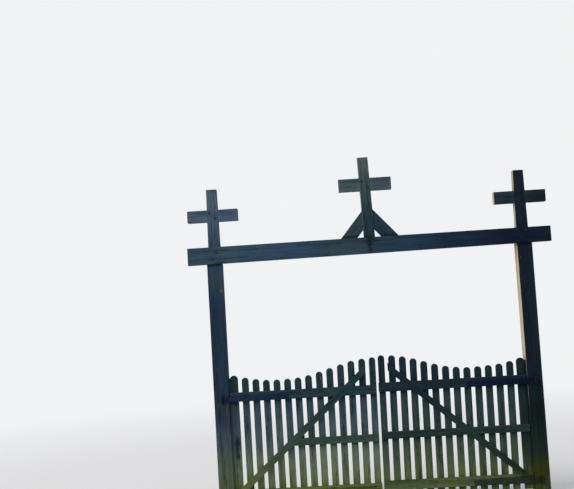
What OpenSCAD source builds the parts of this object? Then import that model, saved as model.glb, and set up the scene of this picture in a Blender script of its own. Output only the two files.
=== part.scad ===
// A timber lychgate: two shouldered posts that run up into crosses, a long lintel with a
// larger cross on it, and a pair of picket leaves on strap hinges. Millimetres, Z up.
// The origin is the middle of the left post's foot. The leaves open towards -Y.
// The work is old and hand made: the lintel tapers and climbs a little to the right, and
// the centre cross leans.

/* [Posts and lintel] */
// Distance between the centre lines of the two posts
post_pitch = 3360; // [2600:10:4200]
// Width of a post across the gateway
post_w = 160; // [120:5:220]
// Depth of a post through the gateway
post_d = 160; // [130:5:220]
// Height of the left post's shoulder, on which the lintel rests
seat_z = 2665; // [2300:1:3000]
// How much higher the right post's shoulder is
seat_rise = 28; // [0:1:60]
// Height of the lintel beam over the left post
lintel_h = 185; // [120:1:240]
// How much less high the beam is over the right post
lintel_taper = 20; // [0:1:40]
// Thickness of the lintel beam
lintel_d = 100; // [80:5:130]
// How far the lintel runs on past the middle of each post
lintel_overhang = 285; // [200:5:400]
// How far the lintel's face stands in front of the posts
lintel_proud = 20; // [5:1:40]

/* [Crosses] */
// Depth of the squared shaft above each post
shaft_d = 100; // [80:5:120]
// Width of a post's shaft at the shoulder
shaft_w = 132; // [90:2:140]
// Width of a post's shaft at its top
shaft_top_w = 110; // [80:2:130]
// Height of the left post's shaft above the shoulder
side_shaft_h = 826; // [650:1:1000]
// How far a post's shaft stands above its arm
side_head_h = 226; // [150:2:260]
// Length of the cross arm on a post
side_arm_l = 556; // [400:2:700]
// Height of that arm
side_arm_h = 130; // [90:2:160]
// How far the centre cross stands to the right of the gateway's middle
centre_shift = 22; // [-60:1:60]
// Lean of the centre cross's shaft to the left
centre_lean = 1.6; // [0:0.1:3]
// Height of the centre cross above the lintel
centre_shaft_h = 873; // [800:1:1000]
// Width of the centre cross's shaft at its foot
centre_shaft_w = 119; // [90:1:140]
// Width of the centre cross's shaft at its top
centre_shaft_top_w = 115; // [80:1:130]
// How far the centre cross's shaft stands above its arm
centre_head_h = 227; // [150:1:260]
// Depth of the centre cross
centre_shaft_d = 90; // [70:5:100]
// Length of the centre cross's arm
centre_arm_l = 572; // [400:2:700]
// Height of that arm
centre_arm_h = 136; // [90:2:160]
// Length of the tenon that stands in the lintel
tenon_l = 80; // [40:5:110]
// Width of that tenon
tenon_w = 60; // [40:5:80]
// Thickness of that tenon
tenon_t = 36; // [24:2:50]

/* [Centre cross braces] */
// Distance from the cross's middle to the outer end of the left brace's foot
left_brace_reach = 310; // [270:2:340]
// The same distance for the right brace
right_brace_reach = 318; // [270:2:340]
// Width of a brace across its grain
cross_brace_w = 138; // [100:2:150]
// Angle of the left brace above the level
left_brace_angle = 50; // [45:0.5:54]
// Angle of the right brace above the level
right_brace_angle = 48.5; // [45:0.5:54]
// Thickness of a brace
cross_brace_t = 70; // [50:5:80]

/* [Gate leaves] */
// Gap between a post and its leaf
post_gap = 15; // [12:1:30]
// Gap between the two leaves
meeting_gap = 28; // [15:1:50]
// How far the rails stand in front of the posts
leaf_proud = 8; // [7:1:20]
// Extra height at which the right leaf hangs
right_lift = 18; // [0:1:50]
// Height of the pickets' lower ends above the ground
picket_foot = 60; // [40:5:100]

/* [Pickets and boards] */
// Number of pickets between the end boards of one leaf
picket_count = 12; // [8:1:13]
// Width of one picket
picket_w = 74; // [60:1:80]
// Thickness of the pickets and end boards
picket_t = 22; // [18:1:30]
// Width of the board on the hinge side
hinge_board_w = 88; // [70:1:110]
// Width of the board on the meeting side
meeting_board_w = 70; // [60:1:100]
// Height of the swept top line at the hinge board
sweep_hinge_z = 1450; // [1440:2:1560]
// Height of the swept top line at its lowest place
sweep_dip_z = 1380; // [1370:2:1430]
// Height of the swept top line at the meeting board
sweep_meeting_z = 1560; // [1550:5:1700]
// Place of the lowest point, as a share of the way from hinge to meeting board
sweep_dip_at = 0.38; // [0.3:0.01:0.5]

/* [Rails and braces] */
// Thickness of the rails and braces
rail_t = 45; // [35:1:60]
// Height of the lower edge of the top rail
top_rail_z = 1168; // [1150:2:1200]
// Height of the top and bottom rails from edge to edge
rail_h = 97; // [80:1:110]
// Height of the lower edge of the middle rail
mid_rail_z = 667; // [560:1:750]
// Height of the middle rail from edge to edge
mid_rail_h = 75; // [60:1:90]
// Height of the lower edge of the bottom rail
bottom_rail_z = 128; // [110:2:160]
// Width of a leaf's brace across its grain
brace_w = 66; // [50:1:80]
// Angle of a leaf's brace above the level
brace_angle = 41.4; // [39.5:0.1:42]
// Distance from the post to the middle of the brace's foot
brace_foot = 107; // [90:1:140]

/* [Strap hinges] */
// Length of a strap from its pin to its end
strap_l = 722; // [400:2:900]
// Height of a strap
strap_h = 60; // [40:2:70]
// Thickness of a strap
strap_t = 6; // [4:1:7]
// Height of a strap above the lower edge of its rail
strap_inset = 0; // [0:1:10]
// Radius of a hinge pin
pin_r = 8; // [6:0.5:10]
// Play between a pin and the eye round it
pin_play = 0.5; // [0.3:0.1:0.8]
// Height of a pin's end above its eye
pin_stand = 12; // [6:1:25]
// Radius of the hook's shank in the post
shank_r = 9; // [7:0.5:12]
// Length of the shank inside the post
shank_l = 90; // [50:5:120]
// Gap between a shank and the eye over it
eye_gap = 2; // [1:0.5:5]

/* [Hidden] */

// What a cut runs past the face it opens
over = 1;
// How far what meets the lintel is drawn below its seat, before it is cut off
root = 10;
// Sides of the round picket tops, eyes and pins
$fn = 64;

slate_oak = [0.24, 0.29, 0.33];
green_oak = [0.31, 0.33, 0.28];
picket_grey = [0.25, 0.28, 0.30];
iron_blue = [0.16, 0.15, 0.20];
rust_brown = [0.33, 0.20, 0.13];

// Faces of the posts and the beam, from the viewer's side to the back
post_front = -post_d / 2;
shaft_front = post_d / 2 - shaft_d;
lintel_front = post_front - lintel_proud;
lintel_middle_y = lintel_front + lintel_d / 2;
gate_middle = post_pitch / 2;

// Height of the lintel's underside and of its top over a place along the gateway
function seat_at(x) = seat_z + seat_rise * x / post_pitch;
function lintel_top_at(x) = seat_at(x) + lintel_h - lintel_taper * x / post_pitch;

// Height of the level shoulder of the post at x, sawn to a whole millimetre: the lintel is
// notched down onto it
function shoulder_z(x) = ceil(seat_at(x + post_w / 2));

// Crosses: both posts end at one height, and each arm hangs at a set height below a top
post_top_z = seat_z + side_shaft_h;
side_arm_z = post_top_z - side_head_h - side_arm_h;
centre_x = gate_middle + centre_shift;
centre_foot_z = lintel_top_at(centre_x);
centre_shaft_front = lintel_middle_y - centre_shaft_d / 2;
centre_arm_z = centre_shaft_h - centre_head_h - centre_arm_h;
centre_drift = centre_shaft_h * tan(centre_lean);
centre_arm_x = -(centre_arm_z + centre_arm_h / 2) * tan(centre_lean);

// The leaf: x runs from the hinge pin, y is the row's own, z is the left leaf's height
rail_front = post_front - leaf_proud;
picket_front = rail_front + rail_t;
leaf_start = post_w / 2 + post_gap;
leaf_end = gate_middle - meeting_gap / 2;
leaf_w = leaf_end - leaf_start;
picket_gap = (leaf_w - hinge_board_w - meeting_board_w - picket_count * picket_w)
    / (picket_count + 1);
hinge_board_middle = leaf_start + hinge_board_w / 2;
meeting_board_middle = leaf_end - meeting_board_w / 2;

// The brace starts on top of the bottom rail and is cut off at the edge of the last picket
brace_start = [post_w / 2 + brace_foot, bottom_rail_z + rail_h];
brace_end = picket_x(picket_count - 1) + picket_w;
brace_l = (brace_end - brace_start.x) / cos(brace_angle) + brace_w;

// The hinge: the strap lies on the rails and its eye stands in front of it
eye_r = pin_r + pin_play + strap_t;
pin_y = rail_front - eye_r;
upper_strap_z = top_rail_z + strap_inset;
lower_strap_z = bottom_rail_z + strap_inset;

// Height of the swept top line over a place along the leaf
function sweep_z(x) =
    let (u = (x - hinge_board_middle) / (meeting_board_middle - hinge_board_middle))
    u < sweep_dip_at
    ? sweep_dip_z + (sweep_hinge_z - sweep_dip_z) * pow(1 - u / sweep_dip_at, 2.4)
    : sweep_dip_z + (sweep_meeting_z - sweep_dip_z)
        * (1 - cos(180 * (u - sweep_dip_at) / (1 - sweep_dip_at))) / 2;

// Left edge of one picket
function picket_x(i) = leaf_start + hinge_board_w + picket_gap + i * (picket_w + picket_gap);

// Stands an outline drawn in x and z upright, from a front face backwards
module upright(front, depth) {
    translate([0, front + depth, 0]) rotate([90, 0, 0]) linear_extrude(depth) children();
}

// Places a leaf's piece at its own post: the right leaf is the left one mirrored
module on_leaf(side) {
    if (side == "left") children();
    else translate([post_pitch, 0, right_lift]) mirror([1, 0, 0]) children();
}

// Outline of a shaft from its root below the seat: it narrows evenly to its top, which
// stands to the left by the drift
module shaft_outline(foot_w, top_w, height, drift) {
    low_w = foot_w + (foot_w - top_w) * root / height;
    low_x = drift * root / height;
    polygon([
        [low_x - low_w / 2, -root],
        [low_x + low_w / 2, -root],
        [top_w / 2 - drift, height],
        [-top_w / 2 - drift, height]
    ]);
}

// Shaft of the post that stands at x, from its shoulder to the top
module side_shaft_outline(x) {
    translate([0, seat_at(x)]) shaft_outline(shaft_w, shaft_top_w, post_top_z - seat_at(x), 0);
}

module centre_shaft_outline() {
    shaft_outline(centre_shaft_w, centre_shaft_top_w, centre_shaft_h, centre_drift);
}

module side_arm_outline() {
    translate([-side_arm_l / 2, side_arm_z]) square([side_arm_l, side_arm_h]);
}

module centre_arm_outline() {
    translate([centre_arm_x - centre_arm_l / 2, centre_arm_z]) square([centre_arm_l, centre_arm_h]);
}

// Outline of the lintel, with x from the left post
module lintel_outline() {
    start = -lintel_overhang;
    end = post_pitch + lintel_overhang;
    polygon([
        [start, seat_at(start)],
        [end, seat_at(end)],
        [end, lintel_top_at(end)],
        [start, lintel_top_at(start)]
    ]);
}

// Cuts off at the lintel what stands on it and is drawn from the centre cross's foot
module off_lintel() {
    translate([-centre_x, 0, -centre_foot_z])
        upright(lintel_front - over, lintel_d + 2 * over) lintel_outline();
}

// Hole in a post for the shank of one hook, from the front face inwards
module shank_hole(shank_z) {
    translate([0, post_front - over, shank_z]) rotate([-90, 0, 0]) cylinder(r = shank_r, h = shank_l + over);
}

// The post that stands at x, with its shoulder, its shaft and the housings for arm and hooks
module post(x, lift) {
    color(slate_oak) translate([x, 0, 0]) difference() {
        union() {
            upright(post_front, post_d) translate([-post_w / 2, 0]) square([post_w, shoulder_z(x)]);
            upright(shaft_front, shaft_d) side_shaft_outline(x);
        }
        upright(shaft_front + shaft_d / 2, shaft_d / 2 + over) side_arm_outline();
        shank_hole(shank_z(upper_strap_z) + lift);
        shank_hole(shank_z(lower_strap_z) + lift);
    }
}

// Arm of the cross over the post at x, let over the shaft from behind
module side_arm(x) {
    color(slate_oak) translate([x, 0, 0]) difference() {
        upright(shaft_front, shaft_d) side_arm_outline();
        upright(shaft_front - over, shaft_d / 2 + over) side_shaft_outline(x);
    }
}

// Level notch in the lintel's underside over the post at x, with the housing for its shaft
module post_notch(x) {
    translate([x - post_w / 2, lintel_front - over, shoulder_z(x) - root])
        cube([post_w, lintel_d + 2 * over, root]);
    translate([x, 0, 0]) upright(shaft_front, shaft_d) side_shaft_outline(x);
}

// Lintel, seated on both posts, with the mortise of the centre cross
module lintel() {
    color(slate_oak) difference() {
        upright(lintel_front, lintel_d) lintel_outline();
        for (x = [0, post_pitch]) post_notch(x);
        translate([centre_x, lintel_middle_y, centre_foot_z - tenon_l / 2 + over / 2])
            cube([tenon_w, tenon_t, tenon_l + over], center = true);
    }
}

// Shaft of the centre cross with its tenon and the housing for the arm
module centre_cross_shaft() {
    color(slate_oak) translate([centre_x, 0, centre_foot_z]) {
        difference() {
            upright(centre_shaft_front, centre_shaft_d) centre_shaft_outline();
            upright(lintel_middle_y, centre_shaft_d / 2 + over) centre_arm_outline();
            off_lintel();
        }
        translate([-tenon_w / 2, lintel_middle_y - tenon_t / 2, -tenon_l])
            cube([tenon_w, tenon_t, tenon_l + over]);
    }
}

// Arm of the centre cross
module centre_cross_arm() {
    color(slate_oak) translate([centre_x, 0, centre_foot_z]) difference() {
        upright(centre_shaft_front, centre_shaft_d) centre_arm_outline();
        upright(centre_shaft_front - over, centre_shaft_d / 2 + over) centre_shaft_outline();
    }
}

// Brace of the centre cross, from the lintel up to the shaft's side
module centre_brace(side, reach, angle) {
    foot_w = cross_brace_w / sin(angle);
    rise = tan(angle);
    color(slate_oak) translate([centre_x, 0, centre_foot_z]) difference() {
        upright(lintel_middle_y - cross_brace_t / 2, cross_brace_t)
            mirror([side == "left" ? 1 : 0, 0])
                polygon([
                    [reach + root / rise, -root],
                    [0, reach * rise],
                    [0, (reach - foot_w) * rise],
                    [reach - foot_w + root / rise, -root]
                ]);
        upright(centre_shaft_front, centre_shaft_d) centre_shaft_outline();
        off_lintel();
    }
}

// Height of a hook's shank under the strap that turns on it
function shank_z(strap_z) = strap_z - eye_gap - shank_r;

// Hook driven into a post: a shank and the pin that carries the strap's eye
module pintle(strap_z) {
    color(rust_brown) translate([0, pin_y, shank_z(strap_z)]) {
        rotate([-90, 0, 0]) cylinder(r = shank_r, h = post_front + shank_l - pin_y);
        sphere(r = shank_r);
        cylinder(r = pin_r, h = shank_r + eye_gap + strap_h + pin_stand);
    }
}

// Strap of a hinge: a long flat bar with the eye at its end
module strap(strap_z) {
    color(iron_blue) translate([0, 0, strap_z]) difference() {
        union() {
            translate([0, rail_front - strap_t, 0]) cube([strap_l, strap_t, strap_h]);
            translate([0, pin_y, 0]) cylinder(r = eye_r, h = strap_h);
        }
        translate([0, pin_y, -over]) cylinder(r = pin_r + pin_play, h = strap_h + 2 * over);
    }
}

// Outline of a board with a round head under the swept top line
module board_outline(x, width) {
    head_z = sweep_z(x + width / 2) - width / 2;
    translate([x, picket_foot]) square([width, head_z - picket_foot]);
    translate([x + width / 2, head_z]) circle(r = width / 2);
}

module hinge_board() {
    color(picket_grey) upright(picket_front, picket_t) board_outline(leaf_start, hinge_board_w);
}

module meeting_board() {
    color(picket_grey) upright(picket_front, picket_t)
        board_outline(leaf_end - meeting_board_w, meeting_board_w);
}

module pickets() {
    color(picket_grey) for (i = [0 : picket_count - 1])
        upright(picket_front, picket_t) board_outline(picket_x(i), picket_w);
}

// Outline of a rail over the whole leaf
module rail_outline(z, height) {
    translate([leaf_start, z]) square([leaf_w, height]);
}

// Outline of a leaf's brace, before its upper end is cut off
module brace_outline() {
    intersection() {
        translate(brace_start) rotate(brace_angle)
            translate([-brace_w, -brace_w / 2]) square([brace_l + brace_w, brace_w]);
        translate([leaf_start, brace_start.y]) square([brace_end - leaf_start, sweep_meeting_z]);
    }
}

// Brace, halved over the top rail and, where asked, over the middle rail
module leaf_brace(over_mid_rail) {
    color(green_oak) difference() {
        upright(rail_front, rail_t) brace_outline();
        upright(rail_front + rail_t / 2, rail_t / 2 + over) {
            rail_outline(top_rail_z, rail_h);
            if (over_mid_rail) rail_outline(mid_rail_z, mid_rail_h);
        }
    }
}

// Rail that the brace crosses in a halved joint
module halved_rail(z, height) {
    color(green_oak) difference() {
        upright(rail_front, rail_t) rail_outline(z, height);
        upright(rail_front - over, rail_t / 2 + over) brace_outline();
    }
}

// Middle rail that starts at the brace's lower edge and runs to the meeting board
module short_mid_rail() {
    start = brace_start.x + (mid_rail_z + mid_rail_h / 2 - brace_start.y) / tan(brace_angle);
    color(green_oak) difference() {
        upright(rail_front, rail_t) translate([start, mid_rail_z]) square([leaf_end - start, mid_rail_h]);
        upright(rail_front - over, rail_t + 2 * over) brace_outline();
    }
}

module bottom_rail() {
    color(green_oak) upright(rail_front, rail_t) rail_outline(bottom_rail_z, rail_h);
}

post(0, 0);  // left_post
post(post_pitch, right_lift);  // right_post
lintel();
side_arm(0);  // left_cross_arm
side_arm(post_pitch);  // right_cross_arm
centre_cross_shaft();
centre_cross_arm();
centre_brace("left", left_brace_reach, left_brace_angle);  // centre_brace_left
centre_brace("right", right_brace_reach, right_brace_angle);  // centre_brace_right

on_leaf("left") pintle(upper_strap_z);  // left_upper_pintle
on_leaf("left") pintle(lower_strap_z);  // left_lower_pintle
on_leaf("right") pintle(upper_strap_z);  // right_upper_pintle
on_leaf("right") pintle(lower_strap_z);  // right_lower_pintle

on_leaf("left") hinge_board();  // left_hinge_board
on_leaf("left") pickets();  // left_pickets
on_leaf("left") meeting_board();  // left_meeting_board
on_leaf("left") halved_rail(top_rail_z, rail_h);  // left_top_rail
on_leaf("left") short_mid_rail();  // left_mid_rail
on_leaf("left") bottom_rail();  // left_bottom_rail
on_leaf("left") leaf_brace(false);  // left_leaf_brace
on_leaf("left") strap(upper_strap_z);  // left_upper_strap
on_leaf("left") strap(lower_strap_z);  // left_lower_strap

on_leaf("right") hinge_board();  // right_hinge_board
on_leaf("right") pickets();  // right_pickets
on_leaf("right") meeting_board();  // right_meeting_board
on_leaf("right") halved_rail(top_rail_z, rail_h);  // right_top_rail
on_leaf("right") halved_rail(mid_rail_z, mid_rail_h);  // right_mid_rail
on_leaf("right") bottom_rail();  // right_bottom_rail
on_leaf("right") leaf_brace(true);  // right_leaf_brace
on_leaf("right") strap(upper_strap_z);  // right_upper_strap
on_leaf("right") strap(lower_strap_z);  // right_lower_strap
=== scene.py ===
# %% [markdown]
# # An open timber lychgate
#
# Two square posts carry a long lintel and run on up into crosses. A larger cross with two
# slanting braces stands in the middle of the lintel, and a pair of picket leaves hangs between
# the posts on long iron straps. This lesson dresses the plain solids of that gateway as old
# weathered timber and rusty iron: it rounds and wears the arrises, opens drying cracks, adds
# the nails, bolts and pegs, and mixes every finish from procedural nodes.

# %% Load the plain solids
import math
import random
import bpy
import bmesh
from mathutils import Matrix, Vector
from mathutils.kdtree import KDTree


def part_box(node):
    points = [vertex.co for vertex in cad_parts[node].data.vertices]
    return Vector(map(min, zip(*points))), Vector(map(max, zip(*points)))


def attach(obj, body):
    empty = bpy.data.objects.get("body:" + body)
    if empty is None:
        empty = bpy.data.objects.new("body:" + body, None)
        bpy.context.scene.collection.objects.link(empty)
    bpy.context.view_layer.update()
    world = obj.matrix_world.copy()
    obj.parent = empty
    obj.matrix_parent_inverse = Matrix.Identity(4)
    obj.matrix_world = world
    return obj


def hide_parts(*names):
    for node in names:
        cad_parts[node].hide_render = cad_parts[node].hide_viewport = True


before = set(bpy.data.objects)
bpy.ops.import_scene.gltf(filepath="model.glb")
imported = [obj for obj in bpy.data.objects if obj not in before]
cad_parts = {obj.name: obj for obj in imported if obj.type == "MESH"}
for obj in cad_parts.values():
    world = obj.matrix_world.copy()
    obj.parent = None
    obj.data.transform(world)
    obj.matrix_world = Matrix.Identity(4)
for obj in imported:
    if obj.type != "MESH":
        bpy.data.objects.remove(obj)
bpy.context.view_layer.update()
SIDES = ("left", "right")
LEVELS = ("upper", "lower")

# %% [markdown]
# ## The view
#
# The camera stands a little left of the gateway's middle, on ground that lies higher than the
# foot of the posts, and it was held slightly crooked, so the level lintel climbs to the right
# in the picture. The view is written as a place, a focal length and three angles. The three
# axes of the camera follow from them with two cross products, which is easier to check than
# a set of Euler angles.

# %% Camera
PICTURE_WIDTH = 574
FOCAL_PIXELS = 917.6
EYE = Vector((1.139, -10.026, 2.148))
TURN = math.radians(-1.93)
RISE = math.radians(3.92)
ROLL = math.radians(-3.42)

ahead = Vector((
    math.sin(TURN) * math.cos(RISE),
    math.cos(TURN) * math.cos(RISE),
    math.sin(RISE),
))
level_right = Vector((math.cos(TURN), -math.sin(TURN), 0))
level_up = level_right.cross(ahead)
right = level_right * math.cos(ROLL) + level_up * math.sin(ROLL)
up = level_up * math.cos(ROLL) - level_right * math.sin(ROLL)

lens = bpy.data.cameras.new("view")
lens.sensor_width = 36
lens.lens = FOCAL_PIXELS / PICTURE_WIDTH * lens.sensor_width
camera = bpy.data.objects.new("view", lens)
bpy.context.scene.collection.objects.link(camera)
axes = Matrix((right, up, -ahead)).transposed().to_4x4()
camera.matrix_world = Matrix.Translation(EYE) @ axes
bpy.context.scene.camera = camera
print("focal length in mm:", round(lens.lens, 2))

# %% [markdown]
# ## Shader sums written as Python
#
# A material is easier to read as a sum than as a long list of links. The small class below
# wraps one output of a shader node, so that `1 - mask * 0.4` adds the Math nodes that it
# needs.

# %% Sums on shader sockets
class Socket:
    """An output of a shader node that Python can reckon with."""

    def __init__(self, recipe, output):
        self.recipe = recipe
        self.output = output

    def other(self, output):
        """Another output of the same node."""
        return Socket(self.recipe, self.output.node.outputs[output])

    def reckon(self, operation, *values):
        return self.recipe.node("ShaderNodeMath", {"operation": operation}, values)

    def __add__(self, other):
        return self.reckon("ADD", self, other)

    def __radd__(self, other):
        return self.reckon("ADD", other, self)

    def __sub__(self, other):
        return self.reckon("SUBTRACT", self, other)

    def __rsub__(self, other):
        return self.reckon("SUBTRACT", other, self)

    def __mul__(self, other):
        return self.reckon("MULTIPLY", self, other)

    def __rmul__(self, other):
        return self.reckon("MULTIPLY", other, self)

    def __truediv__(self, other):
        return self.reckon("DIVIDE", self, other)

    def __pow__(self, other):
        return self.reckon("POWER", self, other)

    def __abs__(self):
        return self.reckon("ABSOLUTE", self)

    def floor(self):
        return self.reckon("FLOOR", self)

    def sine(self):
        return self.reckon("SINE", self)

    def least(self, other):
        return self.reckon("MINIMUM", self, other)

    def most(self, other):
        return self.reckon("MAXIMUM", self, other)

    def between(self, low, high):
        """0 below low, 1 above high and a soft step in between; low may be the larger."""
        settings = {"interpolation_type": "SMOOTHSTEP"}
        if low > high:
            return 1 - self.between(high, low)
        return self.recipe.node("ShaderNodeMapRange", settings, (self, low, high))


print("sums that a socket knows:", [name for name in vars(Socket) if name[:2] != "__"])

# %% [markdown]
# Every other node comes from one method of the recipe, which takes the node's type, its
# settings and what goes into its sockets. The short methods after it name the nodes that
# this lesson needs again and again: a place, a stretched pattern, a noise, cells, a mix. All
# patterns lie on Object coordinates. Every piece sits at the origin with its place in its
# mesh, so these are metres in the frame of the whole gateway.

# %% Colours
def colour(red, green, blue):
    """A colour given on a screen's scale, 0 to 255, as the linear colour a shader wants."""
    parts = [value / 255 for value in (red, green, blue)]
    straight = [p / 12.92 if p <= 0.04045 else ((p + 0.055) / 1.055) ** 2.4 for p in parts]
    return (*straight, 1)


print("colour check:", [round(part, 3) for part in colour(67, 86, 97)])


# %% One recipe for each finish
class Recipe:
    """One material, or the world, and the nodes that it is mixed from."""

    def __init__(self, name, kind="materials"):
        self.owner = getattr(bpy.data, kind).new(name)
        self.owner.use_nodes = True
        self.tree = self.owner.node_tree
        self.tree.nodes.clear()

    def node(self, kind, settings=None, values=(), output=0):
        made = self.tree.nodes.new(kind)
        for name, setting in (settings or {}).items():
            setattr(made, name, setting)
        pairs = values.items() if isinstance(values, dict) else enumerate(values)
        for place, value in pairs:
            if isinstance(value, Socket):
                self.tree.links.new(value.output, made.inputs[place])
            else:
                made.inputs[place].default_value = value
        return made if output is None else Socket(self, made.outputs[output])

    def place(self):
        """The point on the surface, in metres."""
        return self.node("ShaderNodeTexCoord", None, (), "Object")

    def parts(self, vector):
        """The three numbers of a vector."""
        first = self.node("ShaderNodeSeparateXYZ", None, (vector,))
        return [first.other(i) for i in range(3)]

    def point(self, x, y, z):
        return self.node("ShaderNodeCombineXYZ", None, (x, y, z))

    def stretched(self, vector, scale):
        """A vector times one number, or times a number for each axis."""
        if isinstance(scale, tuple):
            return self.node("ShaderNodeMapping", None, {"Vector": vector, "Scale": scale})
        settings = {"operation": "SCALE"}
        return self.node("ShaderNodeVectorMath", settings, {0: vector, "Scale": scale})

    def noise(self, vector, detail=3, roughness=0.55, output=0):
        values = {"Vector": vector, "Scale": 1, "Detail": detail, "Roughness": roughness}
        return self.node("ShaderNodeTexNoise", None, values, output)

    def cells(self, vector, scale):
        """Cells: how far it is to a cell's middle, and three numbers that each cell draws."""
        values = {"Vector": vector, "Scale": scale}
        distance = self.node("ShaderNodeTexVoronoi", None, values, "Distance")
        return distance, self.parts(distance.other("Color"))

    def facing(self, axis, low, high):
        """A mask for the faces that look along one axis: 0 for X, 1 for Y, 2 for Z."""
        normal = self.node("ShaderNodeTexCoord", None, (), "Normal")
        return self.parts(normal)[axis].between(low, high)

    def arris(self):
        """The mark that the shaping steps leave on the worn arrises of a mesh."""
        return self.node("ShaderNodeAttribute", {"attribute_name": "arris"}, (), "Fac")

    def mix(self, mask, first, second):
        """A colour that goes from first to second as the mask goes from 0 to 1."""
        values = {0: mask, 6: first, 7: second}
        return self.node("ShaderNodeMix", {"data_type": "RGBA"}, values, 2)

    def layers(self, base, *films):
        """A colour with films over it: each is a mask and a colour, the last one on top."""
        for mask, film in films:
            base = self.mix(mask, base, film)
        return base

    def close(self, shader, kind="ShaderNodeOutputMaterial"):
        self.node(kind, None, {"Surface": shader}, None)
        return self.owner

    def finish(self, base, roughness, height, relief, specular):
        """Closes the recipe: colour, roughness and a bump of that height in metres."""
        bump = self.node("ShaderNodeBump", None, {"Height": height, "Distance": relief})
        return self.close(self.node("ShaderNodeBsdfPrincipled", None, {
            "Base Color": base,
            "Roughness": roughness,
            "Specular IOR Level": specular,
            "Normal": bump,
        }))


print("materials before the first recipe:", len(bpy.data.materials))

# %% [markdown]
# ## Old timber
#
# The posts, lintel and crosses are sawn timbers whose dark stain has weathered to slate blue
# and grey green. A picture of wood wrapped round a box would break at every edge, so the
# grain is solid instead: rings round a heart line inside the timber, stretched along it. A
# side then shows long lines, and an end shows the rings themselves. Each timber has its own
# heart, so no two look alike.

# %% Grain
def middle_of(box):
    return (box[0] + box[1]) / 2


def along_grain(recipe, slope, centre, shift):
    """Object coordinates moved to a timber's middle and turned until Z runs along it.

    The slope is the timber's angle above the level, in degrees: 90 for a post."""
    place = recipe.place()
    turn = -math.radians(90 - slope)
    middle = Matrix.Rotation(turn, 3, "Y") @ centre
    return place, recipe.node("ShaderNodeMapping", None, {
        "Vector": place,
        "Location": (-middle.x, -middle.y, shift - middle.z),
        "Rotation": (0, turn, 0),
    })


def knots(recipe, x, y, z):
    """Nearness to a knot, 1 in its middle; only some cells of the pattern hold one."""
    distance, draws = recipe.cells(recipe.point(x * 5.5, y * 5.5, z * 2.2), 1)
    return distance.between(0.26, 0.03) * draws[0].between(0.45, 0.5)


def timber_figure(recipe, x, y, z, ring, heart):
    """The masks that a timber's colour and relief are mixed from."""
    drift = recipe.parts(recipe.noise(recipe.point(x * 3, y * 3, z * 0.9), 2, 0.5, 1))
    knot = knots(recipe, x, y, z)
    away_x = x - heart[0] + (drift[0] - 0.5) * 0.05
    away_y = y - heart[1] + (drift[1] - 0.5) * 0.05
    radius = (away_x * away_x + away_y * away_y) ** 0.5 + knot * 0.012
    rings = (radius * (2 * math.pi / ring)).sine() * 0.5 + 0.5
    fibre = recipe.noise(recipe.point(x * 210, y * 210, z * 6), 4, 0.6)
    streak = recipe.noise(recipe.point(x * 34, y * 34, z * 0.9), 4, 0.6)
    hair = recipe.noise(recipe.point(x * 46, y * 46, z * 1.3), 3, 0.5)
    check = abs(hair - 0.5).between(0.016, 0.004)
    return {
        "knot": knot,
        "rings": rings,
        "fibre": fibre,
        "streak": streak,
        "check": check * streak.between(0.42, 0.58),
        "patch": recipe.noise(recipe.point(x * 4, y * 4, z * 1.1), 4, 0.6),
    }


print("heart of the lintel:", [round(v, 3) for v in middle_of(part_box("lintel"))])

# %% [markdown]
# One stain has weathered differently on every timber: slate blue where it lies thick, grey
# green where rain has washed it, nearly black where it sank into the soft grain, and paler on
# worn fibres, with a cloudy drift between green and violet over it all. So a stain is six
# tones worked out from one colour, and each timber goes from one stain to the next along its
# length: the left post's foot is splashed pale and the right one's olive, their middles are
# dark, the left one's top is washed again, and the lintel darkens towards its right end,
# which is painted shade on the right side of the gateway.

# %% Stains
def stain(red, green, blue):
    """Six tones of one stain: thick, washed by rain, sunk, worn, greenish and violet."""
    thick = colour(red * 0.92, green * 0.95, blue * 1.02)
    washed = colour(red * 1.14, green * 1.12, blue * 1.02)
    sunk = colour(red * 0.45, green * 0.48, blue * 0.54)
    worn = colour(red * 1.38 + 7, green * 1.32 + 7, blue * 1.22 + 7)
    teal = colour(red * 0.84, green * 1.07, blue * 0.9)
    violet = colour(red * 1.12, green * 0.9, blue * 1.12)
    return thick, washed, sunk, worn, teal, violet


def stops_along(axis, tones_of, stops):
    """Each stop is a place along an axis, in metres, and the colour there."""
    return axis, [(stop[0], tones_of(*stop[1:])) for stop in stops]


def along_x(*stops):
    """Stains along a level timber."""
    return stops_along(0, stain, stops)


def along_z(*stops):
    """Stains up an upright timber."""
    return stops_along(2, stain, stops)


def at_place(recipe, place, tones):
    """The tones at a point, mixed between the two nearest stops."""
    axis, stops = tones
    where = recipe.parts(place)[axis]
    mixed = stops[0][1]
    for (start, _), (end, following) in zip(stops, stops[1:]):
        share = where.between(start, end)
        mixed = [recipe.mix(share, one, other) for one, other in zip(mixed, following)]
    return mixed


print("tones of a stain:", len(stain(60, 80, 90)))

# %% [markdown]
# ## What lies on the stain
#
# Low down, where splashes keep the wood damp, a film of olive algae covers the stain, and
# the same film lies on every upward face. Small grey lichens grow in loose groups. A group
# is a broad noise, and each lichen in it is one cell of a Voronoi pattern with a ragged edge,
# because noise alone gives clouds and never separate spots.

# %% Colours of films, spots and painted light, and the lichens
BROWN = colour(66, 48, 46)
ALGAE = colour(94, 104, 58)
DARK_ALGAE = colour(50, 64, 42)
# Painted sunlight: the pale tan that faces towards -X get in low sun from the left.
SUNLIT_TAN = colour(226, 206, 172)
LICHEN = colour(104, 120, 116)
YELLOW_LICHEN = colour(52, 66, 36)
RUN = colour(84, 70, 72)
# Near black: grime, and painted shadow in the dark bands under the lintel and the rails.
GRIME_AND_SHADE = colour(14, 20, 27)
CHECK = colour(12, 14, 18)


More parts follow.
